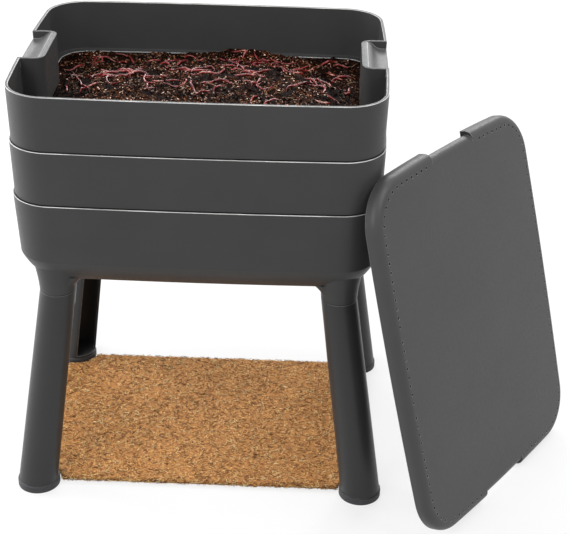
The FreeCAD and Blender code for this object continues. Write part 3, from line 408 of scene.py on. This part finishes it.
def paint_rims(paint, tone, colour):
    """Painted sheen on the upward faces of the scoops, painted highlight on the rounded edges of the
    rims and painted shade in the seams.
    """
    upward = paint.upright(paint.add("NewGeometry").outputs["True Normal"])
    # painted sheen on the faces of the scoops that look up, standing in for the light they would reflect
    # from the back
    paleness = paint.product(
        paint.spread(upward, 0, 1, *LOOKS_UP),
        paint.spread(paint.noise(60, 3), 0.7, 1),
        level_mask(paint, [RIM_LEVELS[-1]], SCOOP_DEPTH, SOFT_FADE),
    )
    tone = paint.mix(paleness, tone, scaled(colour, UPWARD_SHEEN_SHARE))
    # painted highlight on the rounded outer edges of the three rims, patchy along them
    half = RIM_ROUNDING / 2
    on_rim = level_mask(paint, [rim - half for rim in RIM_LEVELS], half, EDGE_FADE)
    slanted = paint.product(
        paint.spread(upward, 0, 1, *ROUNDING_STARTS),
        paint.spread(upward, 1, 0, *ROUNDING_ENDS),
    )
    patchy = paint.spread(paint.noise(13, 3, 0.6), 0.45, 1, 0.35, 0.6)
    tone = paint.mix(paint.product(on_rim, slanted, patchy), tone, PAINTED_EDGE_HIGHLIGHT)
    # painted shade in the seams at the feet of the trays and sockets
    return paint.mix(painted_seam_shade(paint), tone, scaled(colour, SEAM_PAINTED_SHADE))


def moulded_plastic(name, colour, smoothness, wear_and_sheen, round_edge=0.0016, shine=0.32, rims=False):
    """Injection-moulded plastic: fine grain, faint flow marks, softened edges made paler, partly worn
    and partly as a painted highlight.
    """
    paint = Shader(name)
    flow = paint.noise(7, 3, 0.55)
    streak = paint.noise(1, 3, 0.6, paint.stretched((9, 9, 60)))
    grain = paint.noise(1900, 2, 0.6)
    pores = paint.add("TexVoronoi", Vector=paint.place, Scale=950).outputs["Distance"]
    tone = paint.ramp(flow, (0.32, scaled(colour, 0.93)), (0.68, scaled(colour, 1.07)))
    tone = paint.mix(paint.spread(streak, 0, 0.22, 0.35, 0.7), tone, scaled(colour, 1.12))
    tone = paint.mix(paint.spread(grain, 0, 0.25, 0.45, 0.75), tone, scaled(colour, 0.8))
    soft = paint.rounded(round_edge, 6)
    sharp = paint.add("NewGeometry").outputs["Normal"]
    turn = paint.vector("DOT_PRODUCT", soft, sharp, output="Value")
    edge = paint.spread(turn, 1, 0, 0.75, 0.985)
    # paler edges: partly worn, partly a painted highlight where rounded edges catch the light
    worn_and_lit_edges = paint.product(edge, paint.spread(paint.noise(120, 3, 0.6), 0.6, 1, 0.3, 0.65))
    if rims:
        worn_and_lit_edges = paint.product(worn_and_lit_edges, near_rims_and_scoops(paint))
        # painted highlight on the inner edge of the ledge
        tone = paint.mix(paint.product(edge, ledge_lip(paint)), tone, PAINTED_EDGE_HIGHLIGHT)
    tone = paint.mix(paint.product(worn_and_lit_edges, 0.9), tone, scaled(colour, wear_and_sheen))
    if rims:
        tone = paint_rims(paint, tone, colour)
    relief = paint.maths("ADD", paint.product(grain, 0.6), paint.product(pores, 0.5))
    paint.set(
        Base_Color=tone,
        Roughness=paint.spread(paint.noise(240, 3), smoothness - 0.05, smoothness + 0.07, 0.3, 0.7),
        Normal=paint.bump(relief, 0.00006, 0.55, soft),
        Specular_IOR_Level=shine,
    )
    return paint.material


def rubber(name, colour):
    """Soft rubber: matt, dusty, with a fine pitted skin."""
    paint = Shader(name)
    paleness = paint.noise(90, 4, 0.65)
    pits = paint.noise(1300, 2, 0.7)
    paint.set(
        Base_Color=paint.ramp(paleness, (0.35, colour), (0.75, scaled(colour, 1.7))),
        Roughness=paint.spread(pits, 0.5, 0.72, 0.3, 0.7),
        Normal=paint.bump(pits, 0.00008, 0.5, paint.rounded(0.0008, 4)),
    )
    return paint.material


def turned_steel(name):
    """Bright steel screw with fine turning marks."""
    paint = Shader(name)
    marks = paint.noise(1, 2, 0.5, paint.stretched((300, 4000, 300)))
    paint.set(
        Base_Color=paint.ramp(marks, (0.3, (0.52, 0.53, 0.54)), (0.7, (0.66, 0.66, 0.65))),
        Metallic=1.0,
        Roughness=paint.spread(marks, 0.28, 0.45, 0.3, 0.7),
        Normal=paint.bump(marks, 0.00003, 0.4),
    )
    return paint.material


def bedding_material():
    """Moist dark bedding: near-black soil with brown and tan crumbs; the palest specks are painted
    glints on wet crumbs.
    """
    paint = Shader("bedding")
    cells = paint.add("TexVoronoi", Vector=paint.place, Scale=460)
    shade = paint.add("SeparateColor", Color=cells.outputs["Color"]).outputs["Red"]
    crumbs = paint.ramp(
        shade,
        (0.0, (0.0016, 0.0008, 0.0005)),
        (0.5, (0.005, 0.0016, 0.0007)),
        (0.7, (0.036, 0.009, 0.0035)),
        (0.86, (0.12, 0.034, 0.013)),
        (0.95, (0.38, 0.15, 0.07)),
        # palest specks: painted glints on wet crumbs
        (0.985, (0.95, 0.72, 0.58)),
    )
    patches = paint.noise(34, 4, 0.6)
    soil = (0.0030, 0.0012, 0.0007)
    fine = paint.noise(900, 4, 0.7)
    paint.set(
        Base_Color=paint.mix(paint.spread(patches, 0.0, 0.95, 0.42, 0.58), crumbs, soil),
        Roughness=paint.spread(fine, 0.55, 0.95, 0.35, 0.65),
        Normal=paint.bump(fine, 0.0009, 0.8),
        Specular_IOR_Level=0.04,
    )
    return paint.material


def worm_material():
    """Moist worm: dark red to pink along its length, with fine rings and a wet gloss."""
    paint = Shader("worm")
    along = paint.noise(45, 2, 0.5)
    patch = paint.noise(160, 3, 0.6)
    rings = paint.noise(1100, 2, 0.5)
    tone = paint.ramp(
        along,
        (0.3, (0.06, 0.003, 0.003)),
        (0.46, (0.19, 0.008, 0.008)),
        (0.6, (0.36, 0.040, 0.034)),
        (0.72, (0.85, 0.42, 0.34)),
    )
    paint.set(
        Base_Color=paint.mix(paint.spread(patch, 0, 0.75, 0.4, 0.7), tone, (0.07, 0.005, 0.005)),
        Roughness=paint.spread(patch, 0.14, 0.26, 0.3, 0.7),
        Normal=paint.bump(rings, 0.0002, 0.5),
        Subsurface_Weight=0.05,
        Subsurface_Radius=(0.004, 0.0015, 0.001),
        Subsurface_Scale=0.4,
    )
    return paint.material


def straw_material(name, dark, light):
    """Dry plant fibre, varied from strand to strand and flecked."""
    paint = Shader(name)
    strand = paint.noise(70, 2, 0.5)
    fleck = paint.noise(700, 3, 0.6)
    tone = paint.ramp(strand, (0.35, dark), (0.65, light))
    paint.set(
        Base_Color=paint.mix(paint.spread(fleck, 0, 0.4, 0.4, 0.7), tone, scaled(dark, 0.7)),
        Roughness=paint.spread(fleck, 0.6, 0.9, 0.3, 0.7),
        Normal=paint.bump(fleck, 0.0002, 0.5),
    )
    return paint.material


def coir_material():
    """Pressed coconut fibre: crossing golden strands with painted shade in the gaps between them."""
    paint = Shader("coir")
    strands = []
    for number, turn in enumerate((0.35, 1.25, 2.1, 2.85)):
        place = paint.stretched(
            (150, 1150, 300),
            Rotation=(0, 0, turn),
            Location=(3.1 * number, 1.7 * number, 0),
        )
        strands.append(paint.noise(1, 3, 0.6, place))
    weave = paint.maths("MAXIMUM", paint.maths("MAXIMUM", strands[0], strands[1]),
                        paint.maths("MAXIMUM", strands[2], strands[3]))
    patches = paint.noise(9, 3, 0.5)
    tone = paint.ramp(
        weave,
        # near-black low end: painted shade in the gaps between strands
        (0.5, (0.045, 0.012, 0.002)),
        (0.6, (0.60, 0.245, 0.057)),
        (0.72, (1.0, 0.62, 0.21)),
    )
    paint.set(
        Base_Color=paint.mix(paint.spread(patches, 0, 0.3, 0.4, 0.7), tone, (0.48, 0.20, 0.05)),
        Roughness=0.85,
        Normal=paint.bump(weave, 0.0012, 0.7),
    )
    return paint.material


def corner_middle():
    """Middle of the corner arc that touches both bowed sides."""
    reach_short, reach_long = SHORT_RADIUS - CORNER, LONG_RADIUS - CORNER
    back, deep = SHORT_RADIUS - HALF_LENGTH, LONG_RADIUS - HALF_WIDTH
    span = math.hypot(back, deep)
    along = (reach_short**2 - reach_long**2 + span**2) / (2 * span)
    across = math.sqrt(reach_short**2 - along**2)
    return -back + (along * back + across * deep) / span, -(along * deep - across * back) / span


CORNER_MIDDLE = corner_middle()


def plan_distance(x, y, inset):
    """Distance outside the rim outline moved in by an inset; inside it is negative."""
    x, y = abs(x), abs(y)
    long_middle = LONG_RADIUS - HALF_WIDTH
    short_middle = SHORT_RADIUS - HALF_LENGTH
    corner_x, corner_y = CORNER_MIDDLE
    past_long = x * (corner_y + long_middle) > corner_x * (y + long_middle)
    past_short = y * (corner_x + short_middle) > corner_y * (x + short_middle)
    if past_long and past_short:
        return math.hypot(x - corner_x, y - corner_y) - CORNER + inset
    long_side = math.hypot(x, y + long_middle) - LONG_RADIUS
    short_side = math.hypot(x + short_middle, y) - SHORT_RADIUS
    return max(long_side, short_side) + inset


def smooth_step(share):
    """Share from nought to one, eased at both ends."""
    share = min(1.0, max(0.0, share))
    return share * share * (3 - 2 * share)


def relief(x, y, waves, height, seed):
    """Smooth random height over the plan."""
    return height * noise.noise(Vector((x * waves, y * waves, seed)))


def bed_distance(x, y):
    """Distance outside the bedding's plan, which stops at the scoop blocks."""
    block = min(abs(x) - SCOOP_BLOCK_X, SCOOP_BLOCK_Y - abs(y))
    return max(plan_distance(x, y, BED_INSET), block)


def bed_height(x, y):
    """Surface of the bedding: a lumpy, crumbly heap, pushed up a little against the back wall."""
    crown = smooth_step((1 - math.hypot(x / HEAP_HALF_LENGTH, y / HEAP_HALF_WIDTH)) / HEAP_SLOPE)
    pile = smooth_step((y - PILE_FRONT) / PILE_SLOPE) * math.exp(-(((x - PILE_X) / PILE_SPREAD) ** 2))
    height = BED_LEVEL + HEAP_HEIGHT * crown + PILE_HEIGHT * pile
    for layer in BED_RELIEF:
        height += relief(x, y, *layer)
    return height


def new_object(name, data):
    """Object in the scene, with its data."""
    made = bpy.data.objects.new(name, data)
    bpy.context.scene.collection.objects.link(made)
    return made


class Piece:
    """Points and faces of one piece, filled bit by bit."""

    def __init__(self):
        self.points = []
        self.faces = []

    def add(self, points, faces):
        start = len(self.points)
        self.points.extend(points)
        self.faces.extend([start + index for index in face] for face in faces)

    def tube(self, path, radii, sides):
        """Closed tube along a path that runs roughly level."""
        points = []
        count = len(path)
        for index, (place, radius) in enumerate(zip(path, radii)):
            ahead = path[min(index + 1, count - 1)] - path[max(index - 1, 0)]
            side = ahead.cross(Vector((0, 0, 1))).normalized()
            lift = side.cross(ahead).normalized()
            for step in range(sides):
                turn = 2 * math.pi * step / sides
                points.append(place + radius * (math.cos(turn) * side + math.sin(turn) * lift))
        faces = []
        for index in range(count - 1):
            low, high = index * sides, (index + 1) * sides
            for step in range(sides):
                after = (step + 1) % sides
                faces.append((low + step, low + after, high + after, high + step))
        faces.append(tuple(range(sides - 1, -1, -1)))
        faces.append(tuple(range((count - 1) * sides, count * sides)))
        self.add(points, faces)

    def build(self, name, body, material, smooth=True):
        """Object of the piece, riding on a body."""
        mesh = bpy.data.meshes.new(name)
        mesh.from_pydata(self.points, [], self.faces)
        mesh.validate()
        if smooth:
            mesh.shade_smooth()
        mesh.materials.append(material)
        made = new_object(name, mesh)
        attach(made, body)
        return made


def steps(low, high, step):
    """Even divisions from low to high, each about a step long."""
    count = max(1, round((high - low) / step))
    return [low + (high - low) * number / count for number in range(count + 1)]


def block_from_top(piece, columns, rows, inside, top, floor):
    """Closed block over a grid: crumbly top, upright sides and a flat floor."""
    squares = []
    for i in range(len(columns) - 1):
        for j in range(len(rows) - 1):
            x, y = (columns[i] + columns[i + 1]) / 2, (rows[j] + rows[j + 1]) / 2
            if inside(x, y):
                squares.append((i, j))
    taken = set(squares)
    index = {}
    points = []

    def point(i, j, level):
        key = (i, j, level)
        if key not in index:
            index[key] = len(points)
            x, y = columns[i], rows[j]
            points.append(Vector((x, y, top(x, y) if level else floor)))
        return index[key]

    neighbours = ((0, -1), (1, 0), (0, 1), (-1, 0))
    faces = []
    for i, j in squares:
        ring = ((i, j), (i + 1, j), (i + 1, j + 1), (i, j + 1))
        faces.append([point(*corner, 1) for corner in ring])
        faces.append([point(*corner, 0) for corner in reversed(ring)])
        for start, end, (di, dj) in zip(ring, ring[1:] + ring[:1], neighbours):
            if (i + di, j + dj) not in taken:
                faces.append([point(*start, 1), point(*start, 0), point(*end, 0), point(*end, 1)])
    piece.add(points, faces)


def crumb_shape():
    """Twelve corners and twenty faces of a rough crumb."""
    golden = (1 + math.sqrt(5)) / 2
    corners = []
    for a in (-1, 1):
        for b in (-golden, golden):
            corners += [Vector((0, a, b)), Vector((a, b, 0)), Vector((b, 0, a))]
    corners = [corner.normalized() for corner in corners]
    near = 1.06
    faces = []
    for i in range(12):
        for j in range(i + 1, 12):
            for k in range(j + 1, 12):
                a, b, c = corners[i], corners[j], corners[k]
                if max((a - b).length, (b - c).length, (a - c).length) < near:
                    outward = (b - a).cross(c - a).dot(a + b + c) > 0
                    faces.append((i, j, k) if outward else (i, k, j))
    return corners, faces


CRUMB = crumb_shape()


def add_crumb(piece, place, size):
    """Crumb with a turn, stretch and dents of its own."""
    corners, faces = CRUMB
    spin = Euler([chance.uniform(0, 2 * math.pi) for _ in range(3)]).to_matrix()
    stretch = [size * chance.uniform(*CRUMB_STRETCH) for _ in range(3)]
    points = []
    for corner in corners:
        dent = chance.uniform(*CRUMB_DENT)
        points.append(place + spin @ Vector(c * s * dent for c, s in zip(corner, stretch)))
    piece.add(points, faces)


def spot_on_bed(margin):
    """Random place on the bedding, a margin inside its edge."""
    while True:
        x = chance.uniform(-BED_HALF_LENGTH, BED_HALF_LENGTH)
        y = chance.uniform(-BED_HALF_WIDTH, BED_HALF_WIDTH)
        if bed_distance(x, y) < -margin:
            return x, y


def spot_on_ledge():
    """Random place on the narrow ledge round a scoop's block, where bedding has spilled over."""
    side = chance.choice((-1, 1))
    out = chance.uniform(0, LEDGE_WIDTH)
    if chance.random() < SPILLED_AT_END:
        return side * (SCOOP_BLOCK_X + out), chance.uniform(-SCOOP_BLOCK_Y, SCOOP_BLOCK_Y)
    x = side * chance.uniform(SCOOP_BLOCK_X, LEDGE_END_X)
    return x, chance.choice((-1, 1)) * (SCOOP_BLOCK_Y - out)


def make_bedding(material):
    """Block of bedding with its uneven top."""
    bedding = Piece()
    low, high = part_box("compost_bed")
    block_from_top(
        bedding,
        steps(low.x + BED_EDGE, high.x - BED_EDGE, BED_STEP),
        steps(low.y + BED_EDGE, high.y - BED_EDGE, BED_STEP),
        lambda x, y: bed_distance(x, y) < 0,
        bed_height,
        BED_FLOOR,
    )
    made = bedding.build("bedding", "upper_tray", material)
    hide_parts("compost_bed")


def make_crumbs(material):
    """Fine crumbs and lumps on the bedding, and crumbs spilled over on the ledge."""
    crumbs = Piece()

    def drop_on_bed(size, margin, lift):
        x, y = spot_on_bed(margin)
        add_crumb(crumbs, Vector((x, y, bed_height(x, y) + lift * size)), size)

    for _ in range(FINE_CRUMBS):
        size = FINE_CRUMB_LEAST + FINE_CRUMB_MORE * chance.random() ** FINE_CRUMB_POWER
        drop_on_bed(size, FINE_CRUMB_MARGIN, FINE_CRUMB_LIFT)
    for _ in range(LUMPS):
        drop_on_bed(chance.uniform(*LUMP_SIZE), LUMP_MARGIN, LUMP_LIFT)
    for _ in range(SPILLED_CRUMBS):
        size = chance.uniform(*SPILLED_SIZE)
        x, y = spot_on_ledge()
        add_crumb(crumbs, Vector((x, y, LEDGE_LEVEL + SPILLED_LIFT * size)), size)
    crumbs.build("bedding_crumbs", "upper_tray", material, smooth=False)


def worm_path(x, y, length):
    """Winding line over the bedding that dips into it here and there."""
    heading = chance.uniform(0, 2 * math.pi)
    bend = chance.uniform(-WORM_FIRST_BEND, WORM_FIRST_BEND)
    wave = chance.uniform(0, 6)
    path = []
    for number in range(int(length / WORM_STEP)):
        bend += chance.uniform(-WORM_BEND_CHANGE, WORM_BEND_CHANGE)
        bend = max(-WORM_BEND_LIMIT, min(WORM_BEND_LIMIT, bend))
        heading += bend * WORM_STEP
        ahead = Vector((math.cos(heading), math.sin(heading)))
        if bed_distance(x + WORM_SIGHT * ahead.x, y + WORM_SIGHT * ahead.y) > -WORM_NEAR_EDGE:
            heading += WORM_TURN_AWAY
            ahead = Vector((math.cos(heading), math.sin(heading)))
            if bed_distance(x + WORM_STEP * ahead.x, y + WORM_STEP * ahead.y) > -WORM_AT_EDGE:
                ahead *= WORM_SLOWED
        x += WORM_STEP * ahead.x
        y += WORM_STEP * ahead.y
        lift = WORM_LIFT + WORM_RISE * math.sin(wave + WORM_WAVES * number * WORM_STEP)
        path.append(Vector((x, y, bed_height(x, y) + lift)))
    for _ in range(3):
        middle = [(a + 2 * b + c) / 4 for a, b, c in zip(path, path[1:], path[2:])]
        path = [path[0]] + middle + [path[-1]]
    return path


def worm_radii(count, thick, saddle):
    """Radii along a worm: pointed ends, a thicker saddle and fine rings."""
    radii = []
    for number in range(count):
        share = number / (count - 1)
        taper = min(1, 0.25 + 4.5 * share, 0.15 + 3.2 * (1 - share))
        band = 1.16 if abs(share - saddle) < 0.05 else 1.0
        ring = 1.05 if number % 2 else 0.97
        radii.append(thick * taper * band * ring)
    return radii


def make_worms():
    """Worms in groups on the bedding."""
    worms = Piece()
    for (x, y), reach, count in WORM_GROUPS:
        for _ in range(count):
            while True:
                start = x + chance.gauss(0, reach), y + chance.gauss(0, reach)
                if bed_distance(*start) < -WORM_MARGIN:
                    break
            path = worm_path(*start, chance.uniform(*WORM_LENGTH))
            thick = chance.uniform(*WORM_RADIUS)
            saddle = chance.uniform(0.2, 0.35)
            worms.tube(path, worm_radii(len(path), thick, saddle), 8)
    worms.build("worms", "upper_tray", worm_material())


def strand_plan(x, y, heading, bend, length, count):
    """Places along a bent strand round its middle, each with its distance from the middle."""
    for number in range(count):
        run = length * (number / (count - 1) - 0.5)
        turn = heading + bend * run
        yield x + run * math.cos(turn), y + run * math.sin(turn), run


def make_straws():
    """Thin pale fibres and splinters on the bedding."""
    straws = Piece()
    for _ in range(STRAWS):
        x, y = spot_on_bed(STRAW_MARGIN)
        heading = chance.uniform(0, 2 * math.pi)
        bend = chance.uniform(-STRAW_BEND, STRAW_BEND)
        length = chance.uniform(*STRAW_LENGTH)
        tilt = chance.uniform(-STRAW_TILT, STRAW_TILT)
        path = []
        for px, py, run in strand_plan(x, y, heading, bend, length, 6):
            path.append(Vector((px, py, bed_height(px, py) + STRAW_LIFT + tilt * run)))
        thick = chance.uniform(*STRAW_RADIUS)
        straws.tube(path, [thick] * len(path), 4)
    material = straw_material("straw", (0.12, 0.05, 0.02), (0.55, 0.33, 0.18))
    straws.build("bedding_straws", "upper_tray", material)


def mat_height(x, y, top):
    """Surface of the mat's pile under its top."""
    height = top - PILE_DEPTH
    for layer in MAT_RELIEF:
        height += relief(x, y, *layer)
    return height


def notch_distance(x, y):
    """Distance outside the round cut-outs for the feet."""
    return math.hypot(abs(x) - MAT_NOTCH[0], abs(y) - MAT_NOTCH[1]) - MAT_NOTCH_RADIUS


def make_mat():
    """Coir mat with a ragged edge and loose fibres."""
    low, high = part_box("coir_mat")
    mat = Piece()

    def ragged(x, y):
        inset = MAT_INSET - (relief(x, y, *MAT_FRAY) - MAT_FRAY_MEAN)
        return (
            low.x + inset < x < high.x - inset
            and low.y + inset < y < high.y - inset
            and notch_distance(x, y) > inset
        )

    block_from_top(
        mat,
        steps(low.x, high.x, MAT_STEP),
        steps(low.y, high.y, MAT_STEP),
        ragged,
        lambda x, y: mat_height(x, y, high.z),
        low.z,
    )
    made = mat.build("coir_pad", "mat", coir_material())
    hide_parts("coir_mat")
    for name, dark, light in FIBRE_TONES:
        make_fibres(name, low, high, straw_material(name, dark, light))


def make_fibres(name, low, high, material):
    """Loose strands over the mat's top and along its edges."""
    fibres = Piece()
    for _ in range(TOP_FIBRES):
        add_fibre(fibres, chance.uniform(low.x, high.x), chance.uniform(low.y, high.y), low, high)
    for _ in range(LONG_EDGE_FIBRES):
        x, edge = chance.uniform(low.x, high.x), chance.choice((low.y, high.y))
        add_fibre(fibres, x, edge, low, high, chance.uniform(*EDGE_LEVELS))
    for _ in range(SHORT_EDGE_FIBRES):
        edge, y = chance.choice((low.x, high.x)), chance.uniform(low.y, high.y)
        add_fibre(fibres, edge, y, low, high, chance.uniform(*EDGE_LEVELS))
    return fibres.build(name, "mat", material)


def add_fibre(fibres, x, y, low, high, level=None):
    """Strand on the mat's top, or in its edge at a level."""
    heading = chance.uniform(0, 2 * math.pi)
    bend = chance.uniform(-FIBRE_BEND, FIBRE_BEND)
    length = chance.uniform(*FIBRE_LENGTH)
    thick = chance.uniform(*FIBRE_RADIUS)
    tilt = chance.uniform(-FIBRE_TILT, FIBRE_TILT)
    path = []
    for px, py, run in strand_plan(x, y, heading, bend, length, 5):
        px = max(low.x + thick, min(high.x - thick, px))
        py = max(low.y - FIBRE_OVERHANG, min(high.y + FIBRE_OVERHANG, py))
        if notch_distance(px, py) < 2 * thick:
            return
        if level is None:
            lift = FIBRE_LIFT + abs(tilt * run)
            pz = min(high.z + FIBRE_TOP, mat_height(px, py, high.z) + lift)
        else:
            pz = max(2 * thick, level + tilt * run)
        path.append(Vector((px, py, pz)))
    if (path[0] - path[-1]).length > SHORTEST_FIBRE:
        fibres.tube(path, [thick] * len(path), 3)


def paint_solids():
    """Materials of the moulded and turned pieces."""
    finishes = {
        "tray_plastic": moulded_plastic("tray_plastic", TRAY_GREY, smoothness=0.40, wear_and_sheen=11.0,
                                        round_edge=0.0024, shine=0.2, rims=True),
        "lid_plastic": moulded_plastic("lid_plastic", LID_GREY, smoothness=0.42, wear_and_sheen=9.0),
        "leg_plastic": moulded_plastic("leg_plastic", LEG_GREY, smoothness=0.36, wear_and_sheen=17.0,
                                       round_edge=0.0014, shine=0.25),
        "tap_plastic": moulded_plastic("tap_plastic", TAP_GREY, smoothness=0.36, wear_and_sheen=3.0,
                                       round_edge=0.0006),
        "foot_rubber": rubber("foot_rubber", CAP_GREY),
        "seal_rubber": rubber("seal_rubber", SEAL_GREY),
        "screw_steel": turned_steel("screw_steel"),
    }
    for part in frame["record"]["subparts"]:
        if part["material_slot"] in finishes:
            mesh = nodes[part["node"]].data
            mesh.materials.clear()
            mesh.materials.append(finishes[part["material_slot"]])


def make_camera():
    """Camera at the photo's viewing angle."""
    flat = math.cos(CAMERA_PITCH)
    ahead = Vector((math.sin(CAMERA_YAW) * flat, math.cos(CAMERA_YAW) * flat, -math.sin(CAMERA_PITCH)))
    right = Vector((math.cos(CAMERA_YAW), -math.sin(CAMERA_YAW), 0))
    up = right.cross(ahead)
    right, up = (
        math.cos(CAMERA_ROLL) * right + math.sin(CAMERA_ROLL) * up,
        -math.sin(CAMERA_ROLL) * right + math.cos(CAMERA_ROLL) * up,
    )
    lens = bpy.data.cameras.new("camera")
    lens.sensor_width = CAMERA_SENSOR
    lens.lens = CAMERA_LENS
    camera = new_object("camera", lens)
    turn = Matrix((right, up, -ahead)).transposed().to_4x4()
    camera.matrix_world = Matrix.Translation(CAMERA_PLACE) @ turn
    bpy.context.scene.camera = camera


def soft_light(name, place, size, power):
    """Soft lamp that looks at the object."""
    lamp = bpy.data.lights.new(name, "AREA")
    lamp.shape = "RECTANGLE"
    lamp.size, lamp.size_y = size
    lamp.energy = power
    holder = new_object(name, lamp)
    holder.location = place
    aim = Vector(LAMP_TARGET) - Vector(place)
    holder.rotation_euler = aim.to_track_quat("-Z", "Y").to_euler()


def make_studio():
    """White floor and surroundings with soft lamps."""
    # the floor is plain white where it is seen, apart from the object's shadow
    paint = Shader("floor")
    seen = paint.seen()
    paint.set(
        Base_Color=paint.mix(seen, FLOOR_SHADE, FLOOR_SEEN),
        Roughness=0.9,
        Emission_Color=(1, 1, 1, 1),
        Emission_Strength=paint.product(seen, FLOOR_GLOW),
    )
    ends = (-FLOOR_REACH, FLOOR_REACH)
    corners = [Vector((x, y, 0)) for y in ends for x in ends]
    mesh = bpy.data.meshes.new("floor")
    mesh.from_pydata(corners, [], [(0, 1, 3, 2)])
    mesh.materials.append(paint.material)
    new_object("floor", mesh)

    # the surroundings are white where they are seen and dimmer where they only give light
    world = bpy.data.worlds.new("studio")
    bpy.context.scene.world = world
    surround = Nodes(world, "Background")
    surround.set(Color=(1, 1, 1, 1), Strength=surround.spread(surround.seen(), WORLD_LIGHT, 1))
    for lamp in LAMPS:
        soft_light(*lamp)


make_camera()
make_studio()
paint_solids()
soil = bedding_material()
make_bedding(soil)
make_crumbs(soil)
make_worms()
make_straws()
make_mat()

bpy.context.scene.view_settings.view_transform = "Standard"
